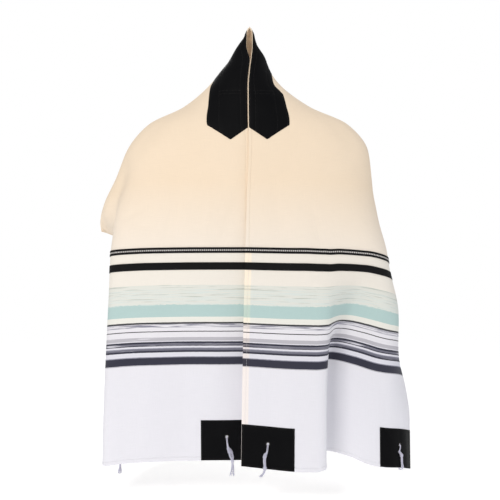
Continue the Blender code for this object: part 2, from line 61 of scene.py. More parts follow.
shawl = {
    "length": 1.83,
    "width": 0.457,
    "thickness": 0.0009,
    "hemWidth": 0.0075,
    "hemPuff": 0.0004,  # how far the turned hem stands out
    "hemBack": 0.0008,  # how much thicker it is behind
    "hemGroove": 0.0003,  # depth of its stitched line
    "seamAboveHem": 0.419,
    "seamGap": 0.0003,
    "hangTop": 0.42,
    "hangBlend": (0.30, 0.50),
    "hangBlendLater": 0.085,
    # level rings of the worn form, each named by its distance from the peak down the front
    "rings": columnsOf(
        ("level", "frontY", "frontZ", "leftX", "rightX",
         "sideY", "sideZ", "backY", "backZ", "square", "middle"),
        (0.000, 0.006, 0.168, 0.002, 0.002, 0.010, 0.168, 0.014, 0.168, 0.00, 0.0030),
        (0.020, 0.001, 0.150, 0.0055, 0.0055, 0.011, 0.150, 0.024, 0.152, 0.00, 0.0030),
        (0.045, -0.010, 0.128, 0.0185, 0.0118, 0.011, 0.129, 0.036, 0.1315, 0.00, 0.0024),
        (0.075, -0.023, 0.101, 0.0370, 0.0302, 0.012, 0.103, 0.050, 0.106, 0.00, 0.0015),
        (0.110, -0.037, 0.069, 0.058, 0.0445, 0.013, 0.074, 0.062, 0.073, 0.00, 0.0006),
        (0.150, -0.053, 0.031, 0.083, 0.0700, 0.014, 0.042, 0.072, 0.038, 0.01, 0.0000),
        (0.200, -0.069, -0.016, 0.138, 0.133, 0.016, -0.004, 0.082, -0.012, 0.06, 0.0000),
        (0.250, -0.083, -0.063, 0.213, 0.213, 0.017, -0.041, 0.088, -0.062, 0.09, 0.0000),
        (0.300, -0.093, -0.112, 0.260, 0.255, 0.017, -0.095, 0.091, -0.112, 0.10, 0.0000),
        (0.350, -0.101, -0.161, 0.286, 0.264, 0.018, -0.156, 0.092, -0.162, 0.10, 0.0000),
        (0.400, -0.107, -0.211, 0.310, 0.270, 0.020, -0.206, 0.092, -0.212, 0.10, 0.0000),
        (0.460, -0.111, -0.271, 0.334, 0.280, 0.030, -0.258, 0.091, -0.270, 0.10, 0.0000),
        (0.520, -0.113, -0.331, 0.342, 0.288, 0.044, -0.296, 0.090, -0.325, 0.10, 0.0000),
    ),
    # the two front edges
    "edges": columnsOf(
        ("u", "leftX", "rightX", "leftY", "rightY", "z"),
        (0.000, 0.000, 0.000, 0.006, 0.006, 0.168),
        (0.020, -0.0060, 0.0060, 0.001, 0.001, 0.150),
        (0.050, -0.0058, 0.0062, -0.012, -0.012, 0.124),
        (0.090, 0.0030, 0.0040, -0.029, -0.029, 0.0875),
        (0.115, 0.0010, 0.0018, -0.039, -0.039, 0.064),
        (0.157, -0.0010, -0.0002, -0.055, -0.055, 0.025),
        (0.226, -0.0006, 0.0002, -0.076, -0.077, -0.040),
        (0.288, 0.0020, 0.0012, -0.091, -0.096, -0.100),
        (0.389, 0.0030, -0.0020, -0.106, -0.114, -0.200),
        (0.489, 0.0040, -0.0050, -0.112, -0.122, -0.300),
        (0.650, 0.0070, -0.0090, -0.115, -0.135, -0.459),
        (0.800, 0.0090, -0.0115, -0.118, -0.150, -0.606),
        (0.915, 0.0100, -0.0131, -0.120, -0.163, -0.7190),
    ),
    # plan line of each hanging front: degrees turned from sideways towards the back, and its drop
    "fronts": {
        "left": columnsOf(
            ("t", "topHeading", "hemHeading", "topDrop", "hemDrop", "turnFrom", "turnFull"),
            (0.000, 0, 0, 0.000, 0.000, -0.10, 1.10),
            (0.100, 3, 1, 0.000, 0.001, -0.10, 1.10),
            (0.200, 8, 0, 0.001, 0.004, -0.10, 1.10),
            (0.250, 18, -4, 0.003, 0.007, -0.10, 1.10),
            (0.280, 50, 8, 0.005, 0.011, -0.10, 1.10),
            (0.305, 86, 72, 0.008, 0.015, -0.10, 1.10),
            (0.335, 102, 103, 0.012, 0.019, -0.10, 1.10),
            (0.380, 108, 106, 0.018, 0.026, -0.10, 1.10),
            (0.457, 112, 98, 0.030, 0.036, -0.10, 1.10),
        ),
        "right": columnsOf(
            ("t", "topHeading", "hemHeading", "topDrop", "hemDrop", "turnFrom", "turnFull"),
            (0.000, 0, -7, 0.000, 0.000, 0.05, 0.75),
            (0.115, 5, -7, 0.001, 0.007, 0.05, 0.75),
            (0.140, 7, 0, 0.002, 0.007, 0.05, 0.75),
            (0.158, 8, 35, 0.003, 0.005, 0.05, 0.75),
            (0.170, 8, 78, 0.004, 0.003, 0.05, 0.75),
            (0.182, 9, 102, 0.004, -0.001, 0.05, 0.75),
            (0.205, 10, 106, 0.006, -0.007, 0.05, 0.75),
            (0.222, 11, 86, 0.008, -0.011, 0.05, 0.72),
            (0.238, 14, 38, 0.010, -0.013, 0.08, 0.60),
            (0.250, 20, 8, 0.011, -0.012, 0.10, 0.46),
            (0.290, 50, -7, 0.018, -0.002, 0.12, 0.44),
            (0.335, 88, -2, 0.026, 0.015, 0.12, 0.62),
            (0.365, 114, 22, 0.031, 0.021, 0.12, 0.75),
            (0.400, 140, 44, 0.037, 0.027, 0.10, 0.78),
            (0.457, 162, 60, 0.046, 0.042, 0.08, 0.80),
        ),
    },
    # large soft folds, the same as in the solids
    "folds": columnsOf(
        ("uTop", "tTop", "uLow", "tLow", "halfWidth", "height"),
        (-0.270, 0.235, -0.430, 0.345, 0.026, -0.014),
        (0.250, 0.300, 0.330, 0.457, 0.030, -0.009),
        (-0.120, 0.150, -0.165, 0.457, 0.034, -0.010),
        (-0.030, 0.120, -0.020, 0.457, 0.036, 0.008),
        (0.100, 0.140, 0.150, 0.457, 0.034, -0.009),
    ),
    # finer creases and ripples, each along a straight line on the cloth
    "creases": columnsOf(
        ("uTop", "tTop", "uLow", "tLow", "halfWidth", "height"),
        (-0.300, 0.150, -0.440, 0.158, 0.014, -0.0016),
        (-0.330, 0.175, -0.480, 0.186, 0.018, 0.0014),
        (-0.405, 0.205, -0.425, 0.250, 0.006, -0.0010),
        (-0.205, 0.130, -0.290, 0.215, 0.016, -0.0022),
        (-0.175, 0.175, -0.235, 0.270, 0.014, 0.0018),
        (-0.360, 0.020, -0.480, 0.060, 0.015, -0.0013),
        (-0.540, 0.050, -0.760, 0.070, 0.020, 0.0018),
        (-0.600, 0.120, -0.880, 0.145, 0.026, -0.0026),
        (-0.560, 0.190, -0.900, 0.215, 0.022, 0.0022),
        (-0.700, 0.030, -0.915, 0.018, 0.016, -0.0016),
        (-0.520, 0.400, -0.860, 0.420, 0.022, -0.0030),
        (0.205, 0.125, 0.290, 0.205, 0.017, -0.0021),
        (0.185, 0.185, 0.240, 0.280, 0.014, 0.0017),
        (0.330, 0.060, 0.470, 0.075, 0.016, -0.0014),
        (0.360, 0.110, 0.520, 0.124, 0.018, 0.0013),
        (0.560, 0.040, 0.800, 0.052, 0.018, -0.0018),
        (0.620, 0.085, 0.900, 0.098, 0.020, 0.0020),
        (0.520, 0.300, 0.740, 0.312, 0.020, 0.0022),
        (0.600, 0.345, 0.890, 0.362, 0.022, -0.0028),
        (0.700, 0.410, 0.915, 0.430, 0.018, 0.0020),
        (-0.075, 0.140, -0.090, 0.420, 0.020, -0.0024),
        (-0.010, 0.170, 0.005, 0.457, 0.018, -0.0030),
        (0.050, 0.150, 0.068, 0.430, 0.022, 0.0026),
        (0.130, 0.200, 0.185, 0.457, 0.018, 0.0022),
        (-0.150, 0.240, -0.215, 0.457, 0.020, 0.0026),
        (-0.060, 0.055, -0.110, 0.150, 0.012, -0.0012),
        (0.055, 0.060, 0.115, 0.160, 0.012, -0.0012),
        (-0.372, 0.172, -0.486, 0.170, 0.005, -0.0007),
        (-0.446, 0.252, -0.450, 0.204, 0.005, -0.0008),
        (-0.330, 0.085, -0.470, 0.088, 0.006, 0.0006),
        (0.395, 0.150, 0.480, 0.148, 0.005, -0.0007),
        (-0.090, 0.300, 0.060, 0.306, 0.006, -0.0008),
        (0.120, 0.240, 0.126, 0.400, 0.006, -0.0008),
    ),
    "centreRows": 262,
    "endRows": 150,
    "columns": 126,
}

halfLength = shawl["length"] / 2
width = shawl["width"]
seamAt = halfLength - shawl["seamAboveHem"]
sideSigns = {"left": -1, "right": 1}


def smoothCurve(x, xs, ys):
    # a smooth curve through a table's points that doesn't overshoot them
    x = np.clip(x, xs[0], xs[-1])
    step = np.diff(xs)
    slope = np.diff(ys) / step
    tangent = np.zeros_like(ys)
    tangent[0], tangent[-1] = slope[0], slope[-1]
    before, after = slope[:-1], slope[1:]
    sameWay = before * after > 0
    tangent[1:-1] = np.where(sameWay, 2 * before * after / np.where(sameWay, before + after, 1), 0)
    i = np.clip(np.searchsorted(xs, x) - 1, 0, len(step) - 1)
    h = step[i]
    f = (x - xs[i]) / h
    return ((1 + 2 * f) * (1 - f) ** 2 * ys[i] + f * (1 - f) ** 2 * h * tangent[i]
            + f * f * (3 - 2 * f) * ys[i + 1] - f * f * (1 - f) * h * tangent[i + 1])


def ease(x, low, high):
    f = np.clip((x - low) / (high - low), 0, 1)
    return f * f * (3 - 2 * f)


def ringForm(side, s, t):
    # the cloth over neck, shoulders and back
    rings, edges = shawl["rings"], shawl["edges"]
    reach = np.maximum(s, t)
    power = 2 + 6 * ease(reach, 0.12, 0.33)
    level = (s ** power + t ** power) ** (1 / power)
    small, large = np.minimum(s, t), np.maximum(reach, 1e-9)
    squared = np.where(t <= s, 0.5 * small / large, 1 - 0.5 * small / large)
    roundTurn = np.arctan2(t, np.maximum(s, 1e-9)) * 2 / math.pi
    mix = ease(reach, 0.12, 0.30)
    turn = math.pi * (roundTurn * (1 - mix) + squared * mix)

    def at(name):
        return smoothCurve(level, rings["level"], rings[name])

    square = at("square")
    across = (np.sin(turn) - square * np.sin(3 * turn)) / (1 + square)
    along = (np.cos(turn) - square * np.cos(3 * turn)) / (1 - square)
    front = turn <= math.pi / 2
    edge = smoothCurve(level, edges["u"], edges[side + "X"]) * np.cos(turn / 2) ** 2
    lead = smoothCurve(level, edges["u"], edges[side + "Y"]) - at("frontY")
    x = at("middle") + sideSigns[side] * at(side + "X") * across + edge
    y = at("sideY") + np.where(front, at("sideY") - at("frontY"), at("backY") - at("sideY")) * -along
    y = y + lead * ease(0.10 - t, 0, 0.10)
    z = at("sideZ") + (np.where(front, at("frontZ"), at("backZ")) - at("sideZ")) * np.cos(turn) ** 2
    return np.stack([x, y, z], -1)


def frontForm(side, s, t):
    # the hanging front, each level line keeping the cloth's full width along its folds
    front, edges = shawl["fronts"][side], shawl["edges"]
    hang = np.clip((s - shawl["hangTop"]) / (halfLength - shawl["hangTop"]), 0, 1)
    steps = 48
    x = smoothCurve(s, edges["u"], edges[side + "X"])
    y = smoothCurve(s, edges["u"], edges[side + "Y"])
    for k in range(steps):
        at = t * (k + 0.5) / steps
        top = smoothCurve(at, front["t"], front["topHeading"])
        hem = smoothCurve(at, front["t"], front["hemHeading"])
        turnFrom = smoothCurve(at, front["t"], front["turnFrom"])
        turned = ease(hang, turnFrom, smoothCurve(at, front["t"], front["turnFull"]))
        heading = np.radians(top + (hem - top) * turned)
        x = x + sideSigns[side] * np.cos(heading) * t / steps
        y = y + np.sin(heading) * t / steps
    top = smoothCurve(t, front["t"], front["topDrop"])
    hem = smoothCurve(t, front["t"], front["hemDrop"])
    z = smoothCurve(s, edges["u"], edges["z"]) - (top + (hem - top) * hang)
    return np.stack([x, y, z], -1)


def drapedCloth(u, t):
    s = np.abs(u)
    points = np.zeros(u.shape + (3,))
    low, high = shawl["hangBlend"]
    for side in sideSigns:
        mine = u < 0 if side == "left" else u >= 0
        if mine.any():
            later = shawl["hangBlendLater"] * (t[mine] / width) ** 2
            mix = ease(s[mine], low + later, high)[:, None]
            ring, front = np.zeros((mine.sum(), 3)), np.zeros((mine.sum(), 3))
            over, under = mix[:, 0] < 1, mix[:, 0] > 0
            ring[over] = ringForm(side, s[mine][over], t[mine][over])
            front[under] = frontForm(side, s[mine][under], t[mine][under])
            points[mine] = ring * (1 - mix) + front * mix
    return points


def outwardOf(form, u, t, step=0.002):
    along = form(np.minimum(u + step, halfLength), t) - form(np.maximum(u - step, -halfLength), t)
    across = form(u, np.minimum(t + step, width)) - form(u, np.maximum(t - step, 0))
    normal = np.cross(along, across)
    return normal / np.maximum(np.linalg.norm(normal, axis=-1, keepdims=True), 1e-12)


def reliefOf(lines, u, t):
    # soft troughs and ridges along straight lines on the cloth
    height = np.zeros(np.shape(u))
    for uTop, tTop, uLow, tLow, halfWidth, peak in zip(*lines.values()):
        run = np.array([uLow - uTop, tLow - tTop])
        length = np.hypot(*run)
        run = run / length
        along = ((u - uTop) * run[0] + (t - tTop) * run[1]) / length
        aside = (u - uTop) * -run[1] + (t - tTop) * run[0]
        height += peak * np.exp(-(aside / halfWidth) ** 2) * ease(along, 0, 0.6) * ease(1.45 - along, 0, 0.45)
    return height


def clothFace(u, t):
    # the cloth's outer face at any places on it
    u, t = np.broadcast_arrays(np.asarray(u, float), np.asarray(t, float))
    height = reliefOf(shawl["folds"], u, t) + reliefOf(shawl["creases"], u, t)
    return drapedCloth(u, t) + outwardOf(drapedCloth, u, t) * height[..., None]


def edgeSteps():
    # distances from a hemmed edge where the grid needs lines
    hem = shawl["hemWidth"]
    return np.array([0, 0.0006, 0.0016, 0.0035, hem - 0.0018, hem - 0.0006, hem, hem + 0.0006, hem + 0.0022])


def foldColumns(side, start, stop, count):
    # places across the cloth, closer together where the front turns
    front = shawl["fronts"][side]
    fine = np.linspace(start, stop, 600)
    turning = sum(np.abs(np.gradient(smoothCurve(fine, front["t"], front[name]), fine))
                  for name in ("topHeading", "hemHeading")) / 30
    measure = np.cumsum(turning + 50)
    measure = (measure - measure[0]) / (measure[-1] - measure[0])
    return np.interp(np.linspace(0, 1, count + 1), measure, fine)


def clothColumns(side, hole=None):
    edge = edgeSteps()
    far = width - edge[::-1]
    middle = foldColumns(side, edge[-1], far[0], shawl["columns"])[1:-1]
    columns = np.concatenate([edge, middle, far])
    return columns if hole is None else withHoleLines(columns, [t for _, t in hole])


def withHoleLines(lines, centres):
    # grid lines with an even block round each hole
    half, cells = eyelet["block"], eyelet["blockCells"]
    for centre in centres:
        block = np.linspace(centre - half, centre + half, cells + 1)
        away = np.abs(lines - centre) > half + 0.0008
        lines = np.sort(np.concatenate([lines[away], block]))
    return lines


def fourSided(index):
    # the faces of a grid of numbered points
    return np.stack([index[:-1, :-1], index[1:, :-1], index[1:, 1:], index[:-1, 1:]], -1)


def sheetGrid(us, ts, holes=()):
    # (u, t) of a sheet's points and its four-sided faces, with a round opening at each hole
    ts = np.broadcast_to(ts, (len(us), ts.shape[-1]))
    rows, cols = ts.shape
    places = np.stack([np.broadcast_to(us[:, None], ts.shape), ts], -1).reshape(-1, 2)
    index = np.arange(rows * cols).reshape(rows, cols)
    keep = np.ones((rows - 1, cols - 1), bool)
    extraPlaces, extraFaces = [], []
    count = len(places)
    half, cells, rings = eyelet["block"], eyelet["blockCells"], eyelet["blockRings"]
    for uHole, tHole in holes:
        i = int(np.argmin(np.abs(us - (uHole - half))))
        j = int(np.argmin(np.abs(ts[i] - (tHole - half))))
        keep[i:i + cells, j:j + cells] = False
        block = index[i:i + cells + 1, j:j + cells + 1]
        rim = np.concatenate([block[0, :-1], block[:-1, -1], block[-1, :0:-1], block[:0:-1, 0]])
        outer = places[rim]
        spoke = outer - (uHole, tHole)
        circle = (uHole, tHole) + spoke / np.linalg.norm(spoke, axis=1, keepdims=True) * eyelet["holeRadius"]
        before = rim
        for ring in range(1, rings + 1):
            mix = ring / rings
            extraPlaces.append(outer * (1 - mix) + circle * mix)
            here = np.arange(count, count + len(rim))
            count += len(rim)
            extraFaces.append(np.stack([np.roll(before, -1), before, here, np.roll(here, -1)], -1))
            before = here
    faces = fourSided(index)[keep]
    if extraPlaces:
        places = np.concatenate([places] + extraPlaces)
        way = signedArea(places, faces)
        turned = [f if signedArea(places, f) * way > 0 else f[:, ::-1] for f in extraFaces]
        faces = np.concatenate([faces] + turned)
    used, numbers = np.unique(faces, return_inverse=True)
    return places[used], numbers.reshape(faces.shape)


def signedArea(places, faces):
    a, b, c = (places[faces[0, k]] for k in range(3))
    return float((b[0] - a[0]) * (c[1] - a[1]) - (b[1] - a[1]) * (c[0] - a[0]))


def shellMesh(name, places, faces, outer, inner, surface):
    # a closed shell between two faces of the same sheet, with the cloth's own (u, t) as its UV map
    count = len(places)
    directed = {(int(a), int(b)) for f in faces for a, b in zip(f, np.roll(f, -1))}
    rims = [(b, a, a + count, b + count) for a, b in directed if (b, a) not in directed]
    allFaces = np.concatenate([faces, faces[:, ::-1] + count, np.array(sorted(rims))])
    points = np.concatenate([outer, inner])
    return plainMesh(name, points, allFaces, surface, np.concatenate([places, places]))


def plainMesh(name, points, faces, surface, places=None):
    mesh = bpy.data.meshes.new(name)
    mesh.vertices.add(len(points))
    mesh.vertices.foreach_set("co", np.asarray(points, np.float32).ravel())
    mesh.loops.add(faces.size)
    mesh.loops.foreach_set("vertex_index", faces.astype(np.int32).ravel())
    mesh.polygons.add(len(faces))
    mesh.polygons.foreach_set("loop_start", np.arange(0, faces.size, faces.shape[1], dtype=np.int32))
    mesh.update(calc_edges=True)
    if places is not None:
        layer = mesh.uv_layers.new(name="clothPlace")
        layer.data.foreach_set("uv", places[faces.ravel()].astype(np.float32).ravel())
    mesh.materials.append(surface)
    mesh.shade_smooth()
    piece = bpy.data.objects.new(name, mesh)
    bpy.context.scene.collection.objects.link(piece)
    return piece


def finishPiece(piece, slot, *nodes):
    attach(piece, "root")
    if nodes:
        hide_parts(*nodes)
    return piece


def giveInput(tree, node, key, value):
    # a link from another node's output, or a plain value
    if isinstance(value, bpy.types.NodeSocket):
        tree.links.new(value, node.inputs[key])
    else:
        node.inputs[key].default_value = value


def nodeIn(tree, kind, inputs=(), **settings):
    node = tree.nodes.new(kind)
    for key, value in settings.items():
        setattr(node, key, value)
    for key, value in dict(inputs).items():
        giveInput(tree, node, key, value)
    return node


class Weaver:
    # short calls for building one material's nodes
    def __init__(self, name, roughness, sheen=0.0, specular=0.5):
        self.material = bpy.data.materials.new(name)
        self.material.use_nodes = True
        self.tree = self.material.node_tree
        self.shader = self.tree.nodes["Principled BSDF"]
        self.give("Roughness", roughness)
        self.give("Sheen Weight", sheen)
        self.give("Specular IOR Level", specular)

    def add(self, kind, inputs=(), **settings):
        return nodeIn(self.tree, "ShaderNode" + kind, inputs, **settings)

    def give(self, key, value):
        giveInput(self.tree, self.shader, key, value)

    def sum(self, operation, *values):
        return self.add("Math", enumerate(values), operation=operation).outputs[0]

    def times(self, first, second):
        return self.sum("MULTIPLY", first, second)

    def place(self):
        # u and t, the cloth's own directions
        parts = self.add("SeparateXYZ", {0: self.add("UVMap", uv_map="clothPlace").outputs[0]})
        return parts.outputs[0], parts.outputs[1]

    def joined(self, x, y, z=0.0):
        return self.add("CombineXYZ", {0: x, 1: y, 2: z}).outputs[0]

    def noise(self, vector, scale, detail=2.0):
        return self.add("TexNoise", {"Vector": vector, "Scale": scale, "Detail": detail}).outputs[0]

    def scaled(self, value, low=0.0, high=1.0, newLow=0.0, newHigh=1.0):
        # the value from one range to another, held at both ends
        return self.add("MapRange", {0: value, 1: low, 2: high, 3: newLow, 4: newHigh}).outputs[0]

    def bands(self, value, pitch):
        # 0 to 1 and back once every pitch
        wave = self.sum("SINE", self.times(value, 2 * math.pi / pitch))
        return self.sum("MULTIPLY_ADD", wave, 0.5, 0.5)

    def between(self, value, low, high, soft):
        # 1 between low and high, 0 outside, soft at both ends
        rise = self.scaled(value, low - soft / 2, low + soft / 2)
        fall = self.scaled(value, high - soft / 2, high + soft / 2)
        return self.sum("SUBTRACT", rise, fall)

    def mixed(self, factor, first, second, blend="MIX"):
        colours = {0: factor, 6: first, 7: second}
        return self.add("Mix", colours, data_type="RGBA", blend_type=blend).outputs[2]

    def bump(self, height, strength, distance):
        node = self.add("Bump", {"Height": height, "Strength": strength, "Distance": distance})
        self.give("Normal", node.outputs[0])

    def colour(self, value):
        self.give("Base Color", value)


wool = {
    "cream": (0.845, 0.690, 0.520, 1),
    "creamPale": (0.875, 0.725, 0.560, 1),
    "creamPaintedPaleBySeam": (0.845, 0.755, 0.655, 1),
    "paintedPaleLightFade": (0.36, 0.49),  # painted light: where along the front the cream is painted paler towards the seam
    "roughness": 0.9,
    "sheen": 0.10,
    "shine": 0.25,
    "threadPitch": 0.00075,
    "threadDepth": 0.00016,
    "threadTones": (0.972, 1.012),  # darkest and lightest thread against the colour
}

stripes = {
    # bands of the striped ends from the hem upwards: where each starts, and its colour
    "bands": (
        (0.0000, "white"),
        (0.1895, "softGrey"),
        (0.1915, "navy"),
        (0.2050, "midGrey"),
        (0.2066, "palest"),
        (0.2152, "navy"),
        (0.2192, "steel"),
        (0.2226, "midGrey"),
        (0.2246, "palest"),
        (0.2268, "navy"),
        (0.2298, "steel"),
        (0.2334, "navy"),
        (0.2368, "palest"),
        (0.2390, "softGrey"),
        (0.2454, "white"),
        (0.2554, "ink"),
        (0.2576, "white"),
        (0.2720, "ink"),
        (0.2744, "straw"),
        (0.2862, "aqua"),
        (0.3105, "chalk"),
        (0.3490, "whiteWarm"),
    ),
    "colours": {
        "white": (0.755, 0.745, 0.785, 1),
        "whiteWarm": (0.800, 0.765, 0.705, 1),
        "palest": (0.69, 0.685, 0.745, 1),
        "softGrey": (0.47, 0.46, 0.50, 1),
        "midGrey": (0.25, 0.25, 0.31, 1),
        "steel": (0.15, 0.15, 0.19, 1),
        "navy": (0.034, 0.034, 0.052, 1),
        "ink": (0.050, 0.050, 0.055, 1),
        "straw": (0.775, 0.772, 0.718, 1),
        "aqua": (0.435, 0.585, 0.575, 1),
        "mist": (0.66, 0.715, 0.69, 1),
        "chalk": (0.700, 0.715, 0.672, 1),
        "sage": (0.47, 0.50, 0.455, 1),
    },
    "reach": 0.45,
    # painted light colour: the wool is painted cool by the hem and warm towards the seam, between these
    # heights
    "paintedLightFrom": (0.16, 0.36),
    "paintedCoolLight": (1.00, 1.00, 1.01, 1),
    "paintedWarmLight": (1.02, 1.00, 0.98, 1),
    # painted highlight: the right front edge's turned strip, painted brighter and warmer, from and to across
    # the cloth
    "paintedLitEdge": (-0.01, 0.0125),
    "paintedEdgeHighlight": (1.15, 1.07, 0.97, 1),
    "fray": 0.0007,  # unevenness of the woven edges
    "aquaFray": 0.006,
    "aquaTop": (0.298, 0.322),
    "bandSoftness": 0.002,
    "streaks": (620, 16),  # how finely a dry brush splits its row up the cloth and across it
    "streakSoftness": 0.04,
    # dry-brushed rows: lowest and highest place, colour, how much of the row they cover
    "brushes": (
        (0.3100, 0.3420, "mist", 0.48),
        (0.3110, 0.3330, "aqua", 0.30),
        (0.3160, 0.3500, "sage", 0.37),
        (0.2655, 0.2725, "midGrey", 0.50),
        (0.2905, 0.3095, "mist", 0.26),
        (0.2192, 0.2226, "palest", 0.34),
        (0.2300, 0.2334, "palest", 0.40),
        (0.2392, 0.2454, "white", 0.34),
    ),
}


def woolWeave(weaver, u, t):
    # plain weave, slubs and a soft nap as one height
    weave = weaver.times(weaver.bands(u, wool["threadPitch"]), weaver.bands(t, wool["threadPitch"]))
    nap = weaver.noise(weaver.joined(u, t), 420, 4)
    return weaver.sum("ADD", weaver.times(weave, 0.6), weaver.times(nap, 0.4))


def threadTone(weaver, u, t, colour):
    # single threads a little lighter or darker, and slow changes over the cloth
    warp = weaver.noise(weaver.joined(weaver.times(u, 40), weaver.times(t, 1400)), 1, 1)
    weft = weaver.noise(weaver.joined(weaver.times(u, 1400), weaver.times(t, 40)), 1, 1)
    tone = weaver.sum("ADD", warp, weft)
    shade = weaver.scaled(tone, 0.7, 1.3, *wool["threadTones"])
    return weaver.mixed(1.0, colour, weaver.joined(shade, shade, shade), "MULTIPLY")


def ivoryWool():
    weaver = Weaver("ivoryWool", wool["roughness"], wool["sheen"], wool["shine"])
    u, t = weaver.place()
    slow = weaver.noise(weaver.joined(u, t), 7, 2)
    base = weaver.mixed(slow, wool["cream"], wool["creamPale"])
    # painted light: the cream is painted paler towards the seam, standing in for the light there
    low, high = wool["paintedPaleLightFade"]
    paintedPaleLight = weaver.scaled(weaver.sum("ABSOLUTE", u), low, high)
    base = weaver.mixed(paintedPaleLight, base, wool["creamPaintedPaleBySeam"])
    weaver.colour(threadTone(weaver, u, t, base))
    weaver.bump(woolWeave(weaver, u, t), 0.5, wool["threadDepth"])
    return weaver.material


def stripedWool():
    weaver = Weaver("stripedWool", wool["roughness"], wool["sheen"], wool["shine"])
    u, t = weaver.place()
    aboveHem = weaver.sum("SUBTRACT", halfLength, weaver.sum("ABSOLUTE", u))
    wander = weaver.noise(weaver.joined(weaver.times(u, 30), weaver.times(t, 160)), 1, 4)
    wander = weaver.sum("SUBTRACT", wander, 0.5)
    aquaZone = weaver.between(aboveHem, *stripes["aquaTop"], stripes["bandSoftness"])
    amount = weaver.sum("MULTIPLY_ADD", aquaZone, stripes["aquaFray"], stripes["fray"])
    at = weaver.sum("ADD", aboveHem, weaver.times(wander, amount))
    ramp = weaver.add("ValToRGB", {0: weaver.sum("DIVIDE", at, stripes["reach"])})
    ramp.color_ramp.interpolation = "CONSTANT"
    while len(ramp.color_ramp.elements) < len(stripes["bands"]):
        ramp.color_ramp.elements.new(1)
    for element, (start, colour) in zip(ramp.color_ramp.elements, stripes["bands"]):
        element.position = start / stripes["reach"]
        element.color = stripes["colours"][colour]
    colour = ramp.outputs[0]
    for seed, (low, high, name, cover) in enumerate(stripes["brushes"]):
        up = weaver.times(aboveHem, stripes["streaks"][0])
        across = weaver.times(t, stripes["streaks"][1])
        grain = weaver.noise(weaver.joined(up, across, seed * 3.7), 1, 5)
        soft = stripes["streakSoftness"]
        mask = weaver.scaled(grain, 1 - cover - soft, 1 - cover + soft)
        mask = weaver.times(mask, weaver.between(aboveHem, low, high, stripes["bandSoftness"]))
        colour = weaver.mixed(mask, colour, stripes["colours"][name])
    # painted light colour: a cool tint by the hem and a warm one towards the seam
    paintedWarmth = weaver.scaled(aboveHem, *stripes["paintedLightFrom"])
    paintedLightTint = weaver.mixed(paintedWarmth, stripes["paintedCoolLight"], stripes["paintedWarmLight"])
    colour = weaver.mixed(1.0, colour, paintedLightTint, "MULTIPLY")
    # painted highlight: the right front edge painted brighter and warmer where light catches it
    strip = weaver.between(t, *stripes["paintedLitEdge"], 0.003)
    strip = weaver.times(strip, weaver.sum("GREATER_THAN", u, 0.0))
    colour = weaver.mixed(strip, colour, weaver.mixed(1.0, colour, stripes["paintedEdgeHighlight"], "MULTIPLY"))
    weaver.colour(threadTone(weaver, u, t, colour))
    weaver.bump(woolWeave(weaver, u, t), 0.5, wool["threadDepth"])
    return weaver.material


satin = {
    "black": (0.0024, 0.0024, 0.0030, 1),
    "blackWorn": (0.0044, 0.0044, 0.0050, 1),
    "roughness": 0.50,
    "shine": 0.045,
    "threadPitch": 0.0005,
    "threadDepth": 0.00006,
}


def blackSatin():
    weaver = Weaver("blackSatin", satin["roughness"], 0.0, satin["shine"])
    u, t = weaver.place()
    slow = weaver.noise(weaver.joined(u, t), 25, 3)
    weaver.colour(weaver.mixed(slow, satin["black"], satin["blackWorn"]))
    fine = weaver.noise(weaver.joined(weaver.times(u, 60), weaver.times(t, 2600)), 1, 2)
    ribs = weaver.sum("ADD", weaver.bands(t, satin["threadPitch"]), fine)
    dullest = satin["roughness"] + 0.1
    weaver.give("Roughness", weaver.scaled(fine, 0.0, 1.0, satin["roughness"] - 0.06, dullest))
    weaver.bump(ribs, 0.3, satin["threadDepth"])
    return weaver.material


ribbon = {
    "black": (0.0036, 0.0032, 0.0036, 1),
    "middle": (0.060, 0.056, 0.054, 1),
    "roughness": 0.6,
    "shine": 0.12,
    "ribPitch": 0.0011,
    "ribDepth": 0.0002,
    "lift": 0.0003,
    "thickness": 0.0006,
    "ladderWidth": 0.0112,
    "ladderCentre": 0.0036,  # the light strip between its two black bars
    "barPuff": 0.0004,
    "wideAboveHem": 0.380,
    "wideWidth": 0.0148,
    "stitchInset": 0.0012,
    "beadPitch": 0.0040,
    "beadSize": (0.0026, 0.0032, 0.0009),
    "alongSteps": 220,
    "ladderRows": 17,
    "wideRows": 9,
    "linePlaces": 150,
    "endGap": 0.002,  # between a line's last stitch and the ribbon's end
}


def ribbedBlack():
    weaver = Weaver("ribbedBlack", ribbon["roughness"], 0.0, ribbon["shine"])
    u, t = weaver.place()
    grain = weaver.noise(weaver.joined(u, t), 900, 3)
    weaver.colour(weaver.mixed(grain, ribbon["black"], satin["blackWorn"]))
    height = weaver.sum("ADD", weaver.bands(t, ribbon["ribPitch"]), weaver.times(grain, 0.3))
    weaver.bump(height, 0.7, ribbon["ribDepth"])
    return weaver.material


def ladderCloth():
    # black bars on each side of a greyer strip that carries the light bars
    weaver = Weaver("ladderCloth", ribbon["roughness"], 0.0, ribbon["shine"])
    u, t = weaver.place()
    fromCentre = weaver.sum("ABSOLUTE", weaver.sum("SUBTRACT", weaver.sum("ABSOLUTE", u), seamAt))
    half = ribbon["ladderCentre"] / 2
    bar = weaver.scaled(fromCentre, half - 0.0002, half + 0.0002)
    grain = weaver.noise(weaver.joined(u, t), 900, 3)
    black = weaver.mixed(grain, ribbon["black"], satin["blackWorn"])
    weaver.colour(weaver.mixed(bar, ribbon["middle"], black))
    weaver.bump(weaver.sum("ADD", weaver.bands(t, ribbon["ribPitch"]), grain), 0.6, ribbon["ribDepth"])
    return weaver.material


